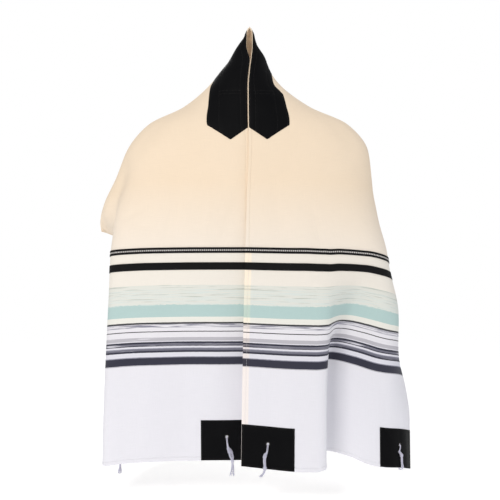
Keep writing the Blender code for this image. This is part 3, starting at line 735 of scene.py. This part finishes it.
# each thread: darkest and lightest fibre, roughness, sheen, fineness of its fibres
threads = {
    "creamThread": ((0.62, 0.53, 0.42, 1), (0.80, 0.70, 0.56, 1), 0.6, 0.2, 2600),
    "whiteThread": ((0.62, 0.61, 0.64, 1), (0.78, 0.77, 0.80, 1), 0.6, 0.2, 2600),
    "blackThread": ((0.012, 0.011, 0.011, 1), (0.045, 0.041, 0.038, 1), 0.5, 0.0, 2600),
    "beadThread": ((0.62, 0.59, 0.57, 1), (0.88, 0.85, 0.82, 1), 0.6, 0.2, 2600),
    "tasselWool": ((0.52, 0.51, 0.64, 1), (0.78, 0.77, 0.88, 1), 0.8, 0.2, 1800),
}


def threadStuff(name):
    # spun thread, its fine fibres placed on object coordinates
    dark, light, roughness, sheen, fibres = threads[name]
    weaver = Weaver(name, roughness, sheen, 0.2)
    place = weaver.add("TexCoord").outputs["Object"]
    fibre = weaver.noise(place, fibres, 3)
    weaver.colour(weaver.mixed(fibre, dark, light))
    weaver.bump(fibre, 0.5, 0.0001)
    return weaver.material


def newTree(name, sockets):
    tree = bpy.data.node_groups.new(name, "GeometryNodeTree")
    tree.interface.new_socket("Geometry", in_out="INPUT", socket_type="NodeSocketGeometry")
    for label, kind in sockets:
        tree.interface.new_socket(label, in_out="INPUT", socket_type="NodeSocket" + kind)
    tree.interface.new_socket("Geometry", in_out="OUTPUT", socket_type="NodeSocketGeometry")
    start = tree.nodes.new("NodeGroupInput")
    end = tree.nodes.new("NodeGroupOutput")
    return tree, start, end


def closeTree(tree, start, end, geometry):
    # what both trees end with: real, smooth and in the given material
    real = nodeIn(tree, "GeometryNodeRealizeInstances", {"Geometry": geometry})
    smooth = nodeIn(tree, "GeometryNodeSetShadeSmooth", {"Geometry": real.outputs[0]})
    paint = nodeIn(tree, "GeometryNodeSetMaterial",
                   {"Geometry": smooth.outputs[0], "Material": start.outputs["Material"]})
    tree.links.new(paint.outputs[0], end.inputs[0])
    return tree


def rowTree():
    # small rounded lumps in a row along a path: stitches or beads
    tree, start, end = newTree("rowOfLumps", (("Pitch", "Float"), ("Size", "Vector"), ("Sides", "Int"),
                                              ("Material", "Material")))
    curve = nodeIn(tree, "GeometryNodeMeshToCurve", {"Mesh": start.outputs["Geometry"]})
    points = nodeIn(tree, "GeometryNodeCurveToPoints",
                    {"Curve": curve.outputs[0], "Length": start.outputs["Pitch"]}, mode="LENGTH")
    out = nodeIn(tree, "GeometryNodeInputNamedAttribute", {"Name": "outward"}, data_type="FLOAT_VECTOR")
    along = nodeIn(tree, "GeometryNodeInputNamedAttribute", {"Name": "along"}, data_type="FLOAT_VECTOR")
    stand = nodeIn(tree, "FunctionNodeAlignRotationToVector", {"Vector": out.outputs[0]}, axis="Z")
    turn = nodeIn(tree, "FunctionNodeAlignRotationToVector",
                  {"Rotation": stand.outputs[0], "Vector": along.outputs[0]}, axis="X", pivot_axis="Z")
    lump = nodeIn(tree, "GeometryNodeMeshUVSphere",
                  {"Segments": start.outputs["Sides"], "Rings": 4, "Radius": 0.5})
    spread = nodeIn(tree, "GeometryNodeInstanceOnPoints",
                    {"Points": points.outputs["Points"], "Instance": lump.outputs["Mesh"],
                     "Rotation": turn.outputs[0], "Scale": start.outputs["Size"]})
    return closeTree(tree, start, end, spread.outputs[0])


def cordTree():
    # a plied cord along a path
    tree, start, end = newTree("pliedCord", (("Radius", "Float"), ("Plies", "Int"), ("Groove", "Float"),
                                             ("Turn", "Float"), ("Step", "Float"), ("Material", "Material")))
    curve = nodeIn(tree, "GeometryNodeMeshToCurve", {"Mesh": start.outputs["Geometry"]})
    even = nodeIn(tree, "GeometryNodeResampleCurve",
                  {"Curve": curve.outputs[0], "Length": start.outputs["Step"]}, mode="LENGTH")
    parameter = nodeIn(tree, "GeometryNodeSplineParameter", {})
    tilt = nodeIn(tree, "ShaderNodeMath", {0: parameter.outputs["Length"], 1: start.outputs["Turn"]},
                  operation="MULTIPLY")
    twisted = nodeIn(tree, "GeometryNodeSetCurveTilt", {"Curve": even.outputs[0], "Tilt": tilt.outputs[0]})
    inner = nodeIn(tree, "ShaderNodeMath", {0: start.outputs["Radius"], 1: start.outputs["Groove"]},
                   operation="MULTIPLY")
    profile = nodeIn(tree, "GeometryNodeCurveStar",
                     {"Points": start.outputs["Plies"], "Inner Radius": inner.outputs[0],
                      "Outer Radius": start.outputs["Radius"]})
    swept = nodeIn(tree, "GeometryNodeCurveToMesh",
                   {"Curve": twisted.outputs[0], "Profile Curve": profile.outputs["Curve"],
                    "Fill Caps": True})
    return closeTree(tree, start, end, swept.outputs[0])


def pathObject(paths):
    # open polylines as one mesh of edges; each path is (points, outward directions or None)
    points = np.concatenate([p for p, _ in paths])
    edges, outs, alongs, first = [], [], [], 0
    for line, out in paths:
        edges += [(first + k, first + k + 1) for k in range(len(line) - 1)]
        alongs.append(np.gradient(line, axis=0))
        outs.append(np.broadcast_to((0, 0, 1), line.shape) if out is None else out)
        first += len(line)
    mesh = bpy.data.meshes.new("path")
    mesh.from_pydata(points.tolist(), edges, [])
    for label, vectors in (("outward", outs), ("along", alongs)):
        layer = mesh.attributes.new(label, "FLOAT_VECTOR", "POINT")
        layer.data.foreach_set("vector", np.concatenate(vectors).astype(np.float32).ravel())
    holder = bpy.data.objects.new("path", mesh)
    bpy.context.scene.collection.objects.link(holder)
    return holder


def grown(name, tree, paths, settings):
    # runs a tree on paths and keeps its result as a plain mesh
    holder = pathObject(paths)
    modifier = holder.modifiers.new(tree.name, "NODES")
    modifier.node_group = tree
    for item in tree.interface.items_tree:
        if item.in_out == "INPUT" and item.name in settings:
            modifier[item.identifier] = settings[item.name]
    graph = bpy.context.evaluated_depsgraph_get()
    mesh = bpy.data.meshes.new_from_object(holder.evaluated_get(graph), depsgraph=graph)
    bpy.data.objects.remove(holder)
    mesh.name = name
    piece = bpy.data.objects.new(name, mesh)
    bpy.context.scene.collection.objects.link(piece)
    return piece


studio = {
    "cameraPlace": (0.004, -1.62, -0.307),
    "lens": 55.1,
    "floorDrop": 0.02,
    "floorRadius": 7.0,
    "floorFade": (0.6, 3.0),  # distances over which the floor gives way to the backdrop
    "floorColour": (0.93, 0.93, 0.93, 1),
    "floorPale": (0.95, 0.95, 0.95, 1),
    "floorGlow": 0.35,
    "backdropRadius": 8.0,
    "sky": (0.98, 0.99, 1.0, 1),
    "skyStrength": 0.45,
    # each lamp: place, size, watts, colour
    "lamps": (
        ((-1.2, -2.6, 1.3), 1.2, 55.5, (1.0, 0.98, 0.955)),
        ((2.6, -0.3, 1.1), 1.2, 18, (0.94, 0.965, 1.0)),
        ((-0.4, 2.7, 1.3), 1.8, 31, (1.0, 0.99, 0.97)),
    ),
}


def disc(radius, height, sides=96):
    angles = np.arange(sides) * 2 * math.pi / sides
    rim = np.stack([np.cos(angles), np.sin(angles), np.zeros(sides)], -1) * radius
    rim[:, 2] = height
    return rim, np.arange(sides)[None, :]


def paperFloor():
    # pale paper that thins out with distance
    paint = Weaver("palePaper", 0.9, 0.0, 0.2)
    place = paint.add("TexCoord").outputs["Object"]
    grain = paint.noise(place, 8, 2)
    paint.colour(paint.mixed(grain, studio["floorColour"], studio["floorPale"]))
    paint.give("Emission Color", (1, 1, 1, 1))
    paint.give("Emission Strength", studio["floorGlow"])
    x, y = paint.add("SeparateXYZ", {0: place}).outputs[:2]
    across = paint.sum("SQRT", paint.sum("ADD", paint.times(x, x), paint.times(y, y)))
    near, far = studio["floorFade"]
    solid = paint.add("MapRange", {0: across, 1: near, 2: far, 3: 1.0, 4: 0.0},
                      interpolation_type="SMOOTHSTEP")
    paint.give("Alpha", solid.outputs[0])
    height = cadBox[0][2] - studio["floorDrop"]
    floor = plainMesh("floor", *disc(studio["floorRadius"], height), paint.material)


def whiteBackdrop():
    # a bright shell seen only directly, so it lights nothing
    bpy.ops.mesh.primitive_uv_sphere_add(segments=48, ring_count=24, radius=studio["backdropRadius"])
    shell = bpy.context.object
    shell.name = "backdrop"
    paint = Weaver("backdropWhite", 1.0, 0.0, 0.0)
    paint.colour((0, 0, 0, 1))
    paint.give("Emission Color", (1, 1, 1, 1))
    paint.give("Emission Strength", 1.0)
    shell.data.materials.append(paint.material)
    for kind in ("diffuse", "glossy", "transmission", "volume_scatter", "shadow"):
        setattr(shell, "visible_" + kind, False)


def makeStudio():
    scene = bpy.context.scene
    camera = bpy.data.objects.new("camera", bpy.data.cameras.new("camera"))
    camera.location = studio["cameraPlace"]
    camera.rotation_euler = (math.pi / 2, 0, 0)
    camera.data.lens = studio["lens"]
    scene.collection.objects.link(camera)
    scene.camera = camera
    scene.view_settings.view_transform = "Standard"
    scene.world = bpy.data.worlds.new("studio")
    scene.world.use_nodes = True
    sky = scene.world.node_tree.nodes["Background"]
    sky.inputs["Color"].default_value = studio["sky"]
    sky.inputs["Strength"].default_value = studio["skyStrength"]
    middle = (Vector(cadBox[0]) + Vector(cadBox[1])) / 2
    for place, size, watts, colour in studio["lamps"]:
        lamp = bpy.data.lights.new("lamp", "AREA")
        lamp.size = size
        lamp.energy = watts
        lamp.color = colour
        holder = bpy.data.objects.new("lamp", lamp)
        holder.location = place
        holder.rotation_euler = (middle - Vector(place)).to_track_quat("-Z", "Y").to_euler()
        holder.visible_camera = False
        scene.collection.objects.link(holder)
    paperFloor()
    whiteBackdrop()


makeStudio()
print("studio done")


eyelet = {
    "holeRadius": 0.0030,
    "holeAboveHem": 0.047,
    "ringRadius": 0.0036,
    "ringThickness": 0.0010,
    "threadRadius": 0.00042,
    "step": 0.0004,
    "turns": 24,
    "block": 0.0060,
    "blockCells": 6,
    "blockRings": 3,
}

patch = {
    "width": 0.102,
    "height": 0.080,
    "lift": 0.0003,
    "thickness": 0.0007,
    "edgeRound": 0.0012,
    "spacing": 0.0020,
    "stitchInset": 0.0025,
    "stitchSunk": 0.0002,
    "edgeGap": 0.0004,  # bare cloth at the shawl's own edges
    "edgeLines": (0, 0.0005, 0.0012, 0.0020, 0.0026, 0.0034),  # grid lines beside each edge
}


def holeAt(side, corner):
    t = patch["width"] / 2 if corner == "inner" else width - patch["width"] / 2
    return sideSigns[side] * (halfLength - eyelet["holeAboveHem"]), t


def hemRelief(u, t):
    # how far the turned hem stands out of the face, and how much thicker it is behind
    fromEdge = np.minimum(np.minimum(t, width - t), halfLength - np.abs(u))
    hem = shawl["hemWidth"]
    puff = shawl["hemPuff"] * ease(hem - fromEdge, 0.0004, 0.0022) * ease(fromEdge, -0.0006, 0.0016)
    groove = shawl["hemGroove"] * np.exp(-((fromEdge - hem) / 0.0006) ** 2)
    return puff - groove, shawl["hemBack"] * ease(hem + 0.0006 - fromEdge, 0, 0.0012)


def clothPiece(name, us, ts, surface, holes=()):
    places, faces = sheetGrid(us, ts, holes)
    u, t = places[:, 0], places[:, 1]
    out = outwardOf(clothFace, u, t)
    puff, back = hemRelief(u, t)
    face = clothFace(u, t)
    outer = face + out * puff[:, None]
    inner = face - out * (shawl["thickness"] + back)[:, None]
    return shellMesh(name, places, faces, outer, inner, surface)


def makeCentre(surface):
    # columns ease from the left front's to the right front's over the back
    reach = seamAt - shawl["seamGap"] / 2
    us = np.linspace(-reach, reach, shawl["centreRows"] + 1)
    mix = ease(us, -0.30, 0.30)[:, None]
    ts = clothColumns("left")[None, :] * (1 - mix) + clothColumns("right")[None, :] * mix
    piece = clothPiece("shawlCentre", us, ts, surface)
    return finishPiece(piece, "ivory_wool", "centre_cloth")


def makeEnd(side, surface):
    start = seamAt + shawl["seamGap"] / 2
    hem = halfLength - edgeSteps()[::-1]
    rows = np.concatenate([np.linspace(start, hem[0], shawl["endRows"]), hem[1:]])
    holes = [holeAt(side, corner) for corner in ("inner", "outer")]
    us = np.sort(sideSigns[side] * withHoleLines(rows, [abs(holes[0][0])]))
    piece = clothPiece("shawlEnd" + side.title(), us, clothColumns(side, holes), surface, holes)
    return finishPiece(piece, "striped_wool", "end_panel_" + side)


ivory = ivoryWool()
striped = stripedWool()
makeCentre(ivory)
print("centre cloth done")
for side in sideSigns:
    makeEnd(side, striped)
print("striped ends done")


stitchSizes = {
    "pitch": 0.0031,
    "size": (0.0024, 0.00045, 0.0004),
    "sides": 6,
    "spacing": 0.004,
    "endPlaces": 96,  # points of a stitched line down an end, and along its hem
    "hemPlaces": 110,
    "sunk": 0.00005,  # how far a hem stitch lies below the cloth's face
}

rows = rowTree()
cords = cordTree()
satinBlack = blackSatin()
ribbonBlack = ribbedBlack()
ladder = ladderCloth()
creamThread, whiteThread, blackThread, beadThread, tasselWool = (threadStuff(name) for name in threads)


def sewnSheet(name, us, ts, lift, thickness, surface, relief=None, holes=()):
    # a sheet lying on the cloth, its face shaped by any relief it is given, such as edges turned down a
    # little
    places, faces = sheetGrid(us, ts, holes)
    u, t = places[:, 0], places[:, 1]
    out = outwardOf(clothFace, u, t)
    face = clothFace(u, t)
    height = lift + thickness + (np.zeros(len(u)) if relief is None else relief(u, t))
    outer = face + out * height[:, None]
    inner = face + out * lift
    return shellMesh(name, places, faces, outer, inner, surface)


def stitchRow(u, t, lift):
    # a path on the cloth for a row of stitches
    u, t = np.broadcast_arrays(np.asarray(u, float), np.asarray(t, float))
    out = outwardOf(clothFace, u, t)
    return clothFace(u, t) + out * lift, out


def stitches(name, paths, thread, slot, pitch=None, size=None):
    piece = grown(name, rows, paths, {
        "Pitch": pitch or stitchSizes["pitch"],
        "Size": size or stitchSizes["size"],
        "Sides": stitchSizes["sides"],
        "Material": thread,
    })
    return finishPiece(piece, slot)


def hemStitches():
    # one stitched line round the whole shawl, in the thread of each stretch
    inset = shawl["hemWidth"]
    lift = -stitchSizes["sunk"]
    reach = seamAt - ribbon["ladderWidth"] / 2
    line = np.linspace(-reach, reach, int(2 * reach / stitchSizes["spacing"]))
    stitches("hemStitchesCentre", [stitchRow(line, t, lift) for t in (inset, width - inset)],
             creamThread, "ivory_wool")
    for side, sign in sideSigns.items():
        start = seamAt + ribbon["ladderWidth"] / 2
        long = sign * np.linspace(start, halfLength - inset, stitchSizes["endPlaces"])
        short = np.linspace(inset, width - inset, stitchSizes["hemPlaces"])
        paths = [stitchRow(long, t, lift) for t in (inset, width - inset)]
        paths.append(stitchRow(sign * (halfLength - inset), short, lift))
        stitches("hemStitches" + side.title(), paths, whiteThread, "striped_wool")


hemStitches()
print("hem stitches done")

neckband = {
    "width": 0.082,
    "halfLength": 0.247,
    "point": 0.027,
    "pointAt": 0.040,
    "inset": {"left": 0.0004, "right": 0.0015},
    "peakInset": 0.0062,  # how much farther from the edge it lies over the nape
    "peakReach": 0.017,
    # its outer edge, puckered in beside the neck on the right
    "outerEdge": columnsOf(
        ("u", "t"),
        (0.066, 0.0820),
        (0.086, 0.0760),
        (0.108, 0.0680),
        (0.130, 0.0645),
        (0.142, 0.0665),
        (0.154, 0.0750),
        (0.166, 0.0820),
    ),
    "lift": 0.0003,
    "thickness": 0.0007,
    "padding": 0.0005,  # how far the quilted middle stands out
    "stitchLines": (0.0035, 0.0145, 0.0590, 0.0785),
    "crossLines": (0.163, 0.171),
    "linePlaces": 150,
    "crossPlaces": 16,
    "sink": 0.8,  # how much of the padding a stitched line pulls in
    "rows": 200,
    "columns": 30,
    "pointRows": 8,
    "turnedEdge": 0.0008,  # how far the two ends go past their cut line
}


def pointReach(t):
    # how far each end's point goes past the band's half length
    return np.interp(t, (0, neckband["pointAt"], neckband["width"]), (0, 1, 0)) * neckband["point"]


def makeNeckband():
    # a grid whose last rows close in on the two points
    half, point, last = neckband["halfLength"], neckband["point"], neckband["pointRows"]
    cols = np.linspace(0, 1, neckband["columns"] + 1)
    tip = pointReach(cols * neckband["width"]) + neckband["turnedEdge"]
    body = [(np.full(len(cols), u), insetColumns(u, cols))
            for u in np.linspace(-half, half, neckband["rows"] + 1)]
    ends = {sign: [(sign * (half + tip * k / last), insetColumns(sign * half, cols))
                   for k in range(1, last + 1)] for sign in (-1, 1)}
    us, ts = np.array(ends[-1][::-1] + body + ends[1]).swapaxes(0, 1)
    index = np.arange(us.size).reshape(us.shape)
    faces = fourSided(index).reshape(-1, 4)
    places = np.stack([us, ts], -1).reshape(-1, 2)
    u, t = places[:, 0], places[:, 1]
    out = outwardOf(clothFace, u, t)
    face = clothFace(u, t)
    across = np.broadcast_to(cols * neckband["width"], us.shape).reshape(-1)
    height = neckband["lift"] + neckband["thickness"] + bandRelief(u, across)
    piece = shellMesh("neckbandSatin", places, faces, face + out * height[:, None],
                      face + out * neckband["lift"], satinBlack)
    return finishPiece(piece, "black_satin", "neckband")


def insetColumns(u, cols):
    # places across the band, from its inset inner edge to its outer edge
    left, right = neckband["inset"]["left"], neckband["inset"]["right"]
    inset = left + (right - left) * ease(u, -0.01, 0.045)
    inset = inset + neckband["peakInset"] * (1 - ease(np.abs(u), 0, neckband["peakReach"]))
    edge = neckband["outerEdge"]
    return inset + (smoothCurve(u, edge["u"], edge["t"]) - inset) * cols


def bandRelief(u, t):
    # soft padding between the stitched lines
    lines = np.array((0,) + neckband["stitchLines"] + (neckband["width"],))
    nearest = np.min(np.abs(t[:, None] - lines[None, 1:-1]), axis=1)
    cross = np.min(np.abs(np.abs(u)[:, None] - np.array(neckband["crossLines"])[None, :]), axis=1)
    inMiddle = (t > neckband["stitchLines"][1]) & (t < neckband["stitchLines"][2])
    nearest = np.where(inMiddle, np.minimum(nearest, cross), nearest)
    edge = np.minimum(t, neckband["width"] - t)
    edgeRound = 0.0002 * (ease(edge, 0, 0.0012) - 1)
    return neckband["padding"] * (ease(nearest, 0, 0.0035) - 1) * neckband["sink"] + edgeRound


def neckbandStitches():
    half = neckband["halfLength"]
    lift = neckband["lift"] + neckband["thickness"] - neckband["padding"] * neckband["sink"]
    first, second, third, last = neckband["stitchLines"]
    paths = []
    for t in neckband["stitchLines"]:
        reach = half - (0.001 if t in (first, last) else 0.0) + pointReach(t) * 0.9
        line = np.linspace(-reach, reach, neckband["linePlaces"])
        paths.append(stitchRow(line, insetColumns(line, t / neckband["width"]), lift))
    places = neckband["crossPlaces"]
    for cross in neckband["crossLines"]:
        for sign in (-1, 1):
            paths.append(stitchRow(sign * cross, np.linspace(second, third, places), lift))
    for sign in (-1, 1):
        for ends in ((first, neckband["pointAt"]), (neckband["pointAt"], last)):
            t = np.linspace(*ends, places)
            paths.append(stitchRow(sign * (half - 0.003 + pointReach(t)), t, lift + 0.0001))
    stitches("neckbandStitches", paths, blackThread, "black_satin")


makeNeckband()
neckbandStitches()
print("neckband done")


def barRelief(u, t):
    # the ladder ribbon's two bars stand up from its middle strip
    off = np.abs(np.abs(u) - seamAt)
    inner, outer = ribbon["ladderCentre"] / 2, ribbon["ladderWidth"] / 2
    return ribbon["barPuff"] * ease(off, inner - 0.0002, inner + 0.0008) * ease(outer - off, -0.0003, 0.0009)


def makeRibbons(side):
    sign, title = sideSigns[side], side.title()
    lift, thickness = ribbon["lift"], ribbon["thickness"]
    ts = foldColumns(side, 0.0, width, ribbon["alongSteps"])
    half = ribbon["ladderWidth"] / 2
    us = np.sort(sign * np.linspace(seamAt - half, seamAt + half, ribbon["ladderRows"]))
    piece = sewnSheet("ladderRibbon" + title, us, ts, lift, thickness, ladder, relief=barRelief)
    finishPiece(piece, "ladder_ribbon", "ladder_ribbon_" + side)
    top = halfLength - ribbon["wideAboveHem"]
    low = top - ribbon["wideWidth"]
    us = np.sort(sign * np.linspace(low, top, ribbon["wideRows"]))
    piece = sewnSheet("wideRibbon" + title, us, ts, lift, thickness, ribbonBlack)
    finishPiece(piece, "black_ribbon", "wide_ribbon_" + side)
    line = np.linspace(ribbon["endGap"], width - ribbon["endGap"], ribbon["linePlaces"])
    inset = ribbon["stitchInset"]
    beads, upper, lower = (stitchRow(sign * u, line, lift + thickness)
                           for u in (seamAt, top - inset, low + inset))
    stitches("ladderBeads" + title, [beads], beadThread, "ladder_ribbon", ribbon["beadPitch"],
             ribbon["beadSize"])
    stitches("ribbonStitches" + title, [upper, lower], blackThread, "black_ribbon")


for side in sideSigns:
    makeRibbons(side)
print("ribbons done")


def patchRelief(uEdges, tEdges):
    def relief(u, t):
        edge = np.minimum(np.minimum(np.abs(u - uEdges[0]), np.abs(u - uEdges[1])),
                          np.minimum(t - tEdges[0], tEdges[1] - t))
        groove = np.exp(-((edge - patch["stitchInset"]) / 0.0008) ** 2)
        return 0.0004 * (ease(edge, 0, patch["edgeRound"]) - 1) - patch["stitchSunk"] * groove
    return relief


def makePatch(side, corner):
    sign, gap = sideSigns[side], patch["edgeGap"]
    title = side.title() + corner.title()
    uHole, tHole = holeAt(side, corner)
    tLow, tHigh = (gap, patch["width"]) if corner == "inner" else (width - patch["width"], width - gap)
    uEdges = np.sort([sign * (halfLength - patch["height"]), sign * (halfLength - gap)])
    nearEdge = np.array(patch["edgeLines"])

    def lines(low, high):
        count = int((high - low) / patch["spacing"])
        return np.concatenate([low + nearEdge, np.linspace(low, high, count)[3:-3], high - nearEdge[::-1]])

    us = withHoleLines(lines(*uEdges), [uHole])
    ts = withHoleLines(lines(tLow, tHigh), [tHole])
    piece = sewnSheet("cornerPatch" + title, us, ts, patch["lift"], patch["thickness"], satinBlack,
                      relief=patchRelief(uEdges, (tLow, tHigh)), holes=[(uHole, tHole)])
    finishPiece(piece, "corner_patch", f"corner_patch_{side}_{corner}")
    inset = patch["stitchInset"]
    lift = patch["lift"] + patch["thickness"] - patch["stitchSunk"]
    a, b = uEdges[0] + inset, uEdges[1] - inset
    c, d = tLow + inset, tHigh - inset
    corners = [(a, c), (b, c), (b, d), (a, d), (a, c)]
    paths = [stitchRow(np.linspace(p[0], q[0], 24), np.linspace(p[1], q[1], 24), lift)
             for p, q in zip(corners, corners[1:])]
    stitches("patchStitches" + title, paths, blackThread, "corner_patch")
    ring = grown("eyelet" + title, cords, [(eyeletWinding(uHole, tHole), None)], {
        "Radius": eyelet["threadRadius"], "Plies": 3, "Groove": 0.8, "Turn": 0.0, "Step": eyelet["step"],
        "Material": blackThread,
    })
    finishPiece(ring, "corner_patch")


def eyeletWinding(uHole, tHole):
    # thread wound round the hole's edge
    turns, perTurn = eyelet["turns"], 12
    angle = np.arange(turns * perTurn + 1) * 2 * math.pi / (turns * perTurn)
    wind = angle * turns
    centre, out, aside, down = holeFrame(uHole, tHole)
    radius = eyelet["ringRadius"] + eyelet["ringThickness"] * np.cos(wind)
    height = patch["lift"] + patch["thickness"] * 0.6 + eyelet["ringThickness"] * 0.75 * np.sin(wind)
    return (centre + aside * (radius * np.cos(angle))[:, None] + down * (radius * np.sin(angle))[:, None]
            + out * height[:, None])


def holeFrame(u, t):
    # a hole's centre on the cloth, the way out of it, and two ways across it
    u, t = np.array([u]), np.array([t])
    centre = clothFace(u, t)[0]
    out = outwardOf(clothFace, u, t)[0]
    aside = np.cross(out, (0, 0, 1))
    aside = aside / np.linalg.norm(aside)
    return centre, out, aside, np.cross(out, aside)


for side in sideSigns:
    for corner in ("inner", "outer"):
        makePatch(side, corner)
print("corner patches done")


tassel = {
    "strands": 8,
    "strandRadius": 0.00085,
    "places": 60,
    "plies": 3,
    "groove": 0.62,
    "turn": 900.0,  # radians of ply twist in a metre
    "step": 0.0011,
    "clearance": 0.0012,
    "windings": 5,
    "windingHeights": (0.0085, 0.005),
    "bundleTwist": 2.2,  # half turns of the bundle from top to ends
    "wave": 0.0007,
    "uneven": 0.10,  # how much longer or shorter a strand's end may be
    # each corner's line below its hole: drop, shift to the right, half width of the bundle
    "lines": {
        ("left", "inner"): ((0.012, 0.001, 0.0013), (0.018, 0.002, 0.0018), (0.026, 0.006, 0.0036),
                            (0.036, 0.009, 0.0044), (0.047, 0.011, 0.0018), (0.060, 0.0115, 0.0028),
                            (0.074, 0.0105, 0.0050)),
        ("left", "outer"): ((0.012, 0.000, 0.0013), (0.018, 0.000, 0.0018), (0.026, 0.000, 0.0030),
                            (0.040, 0.000, 0.0034), (0.050, 0.000, 0.0018), (0.064, -0.001, 0.0030),
                            (0.078, -0.002, 0.0048)),
        ("right", "inner"): ((0.012, -0.001, 0.0013), (0.015, -0.002, 0.0016), (0.020, -0.005, 0.0024),
                             (0.030, -0.006, 0.0026), (0.044, -0.005, 0.0022), (0.052, -0.007, 0.0020),
                             (0.060, -0.013, 0.0030)),
        ("right", "outer"): ((0.010, -0.004, 0.0011), (0.012, -0.005, 0.0014), (0.015, -0.003, 0.0020),
                             (0.020, 0.000, 0.0024), (0.034, 0.0005, 0.0022), (0.046, 0.0005, 0.0030)),
    },
}


def makeTassel(side, corner):
    uHole, tHole = holeAt(side, corner)
    centre, out, _, _ = holeFrame(uHole, tHole)
    out = out * (1, 1, 0)
    out = out / np.linalg.norm(out)
    aside = np.cross(out, (0, 0, 1))
    down = np.array([0, 0, -1.0])
    radius, clearance = tassel["strandRadius"], tassel["clearance"]

    # the cloth straight below the hole: how far down and how far out it lies
    near = np.linspace(max(tHole - 0.03, 0), min(tHole + 0.03, width), 121)
    below = []
    for f in np.linspace(0, 1, 9):
        row = clothFace(np.full_like(near, uHole + math.copysign(eyelet["holeAboveHem"], uHole) * f), near)
        below.append(row[np.argmin(np.abs((row - centre) @ aside))])
    below = np.array(below)
    standOut = (below - centre) @ out
    proud = np.maximum(np.maximum.accumulate(standOut), 0)
    belowDrop = centre[2] - below[:, 2]
    hemDrop, hemOut = belowDrop[-1], standOut[-1]
    back = min(standOut.min(), 0) - shawl["thickness"] - shawl["hemBack"] - clearance

    line = np.array(tassel["lines"][side, corner])
    drops = np.linspace(line[0, 0], line[-1, 0], tassel["places"])
    shift = smoothCurve(drops, line[:, 0], line[:, 1])
    half = smoothCurve(drops, line[:, 0], line[:, 2])
    face = patch["lift"] + patch["thickness"] + clearance * 0.4
    away = np.interp(drops, belowDrop, proud) + face + half
    spine = centre + out * away[:, None] - aside * shift[:, None] + down * drops[:, None]
    paths = []
    count = tassel["strands"]
    for k in range(count):
        angle = 2 * math.pi * k / count + tassel["bundleTwist"] * math.pi * np.linspace(0, 1, len(drops))
        wave = tassel["wave"] * np.sin(np.linspace(0, 7, len(drops)) + 1.9 * k)
        wave = wave * ease(drops, line[-3, 0], line[-1, 0])
        offset = (half - radius * 0.6)[:, None] * (
            np.cos(angle)[:, None] * aside + 0.75 * np.sin(angle)[:, None] * out)
        points = spine + offset + wave[:, None] * aside
        points[:, 2] -= (drops - line[-2, 0]).clip(0) * tassel["uneven"] * math.sin(2.4 * k + len(side))
        paths.append((points, None))

    # two threads from the knot through the hole, down behind the cloth and back under the hem
    under = hemDrop + 2.5 * radius + clearance
    hemSpot = np.argmin(np.abs(drops - min(under, line[-1, 0])))
    slant = -aside * shift[hemSpot]
    lean = -aside * shift[0] * 0.5
    behind = -shawl["thickness"]
    for lane in (-1, 1):
        toLane = aside * lane * radius * 1.05
        start = centre + toLane
        loop = [spine[0] + toLane + out * radius]
        for drop in (0.0065, 0.0030):
            stand = face + np.interp(drop, belowDrop, proud) + 1.6 * radius
            loop.append(start + out * stand + lean * ease(drop, 0.001, 0.008) + down * drop)
        for stand, drop, share in (
            (face * 0.4, -0.0004, 0),
            (behind, -0.0006, 0),
            (behind - 3 * radius, 0.0020, 0),
            (back, 0.011, 0.25),
            (back, hemDrop - 0.004, 1),
            ((back + hemOut) / 2, under, 1),
            (hemOut + radius, under, 1),
        ):
            loop.append(start + out * stand + slant * share + down * drop)
        loop.append(spine[hemSpot])
        paths.append((roundedRoute(np.array(loop), 64), None))
    for place, height in zip((line[2, 0], line[-3, 0]), tassel["windingHeights"]):
        paths.append((winding(spine, drops, half, place, height, out, aside), None))
    piece = grown("tassel" + side.title() + corner.title(), cords, paths, {
        "Radius": radius, "Plies": tassel["plies"], "Groove": tassel["groove"],
        "Turn": tassel["turn"], "Step": tassel["step"], "Material": tasselWool,
    })
    finishPiece(piece, "tassel_wool", f"tassel_{side}_{corner}")


def roundedRoute(points, count):
    # a smooth curve through a route's points
    reach = np.concatenate([[0], np.cumsum(np.linalg.norm(np.diff(points, axis=0), axis=1))])
    places = np.linspace(0, reach[-1], count)
    return np.stack([smoothCurve(places, reach, points[:, k]) for k in range(3)], -1)


def winding(spine, drops, half, place, height, out, aside):
    # cord wound round the bundle
    turns = tassel["windings"]
    f = np.linspace(0, 1, turns * 14)
    drop = place + (f - 0.5) * height
    centre = np.stack([np.interp(drop, drops, spine[:, k]) for k in range(3)], -1)
    radius = np.interp(drop, drops, half) + tassel["strandRadius"] * 0.9
    angle = f * turns * 2 * math.pi
    return centre + radius[:, None] * (np.cos(angle)[:, None] * aside + 0.85 * np.sin(angle)[:, None] * out)


for side in sideSigns:
    for corner in ("inner", "outer"):
        makeTassel(side, corner)
print("tassels done")
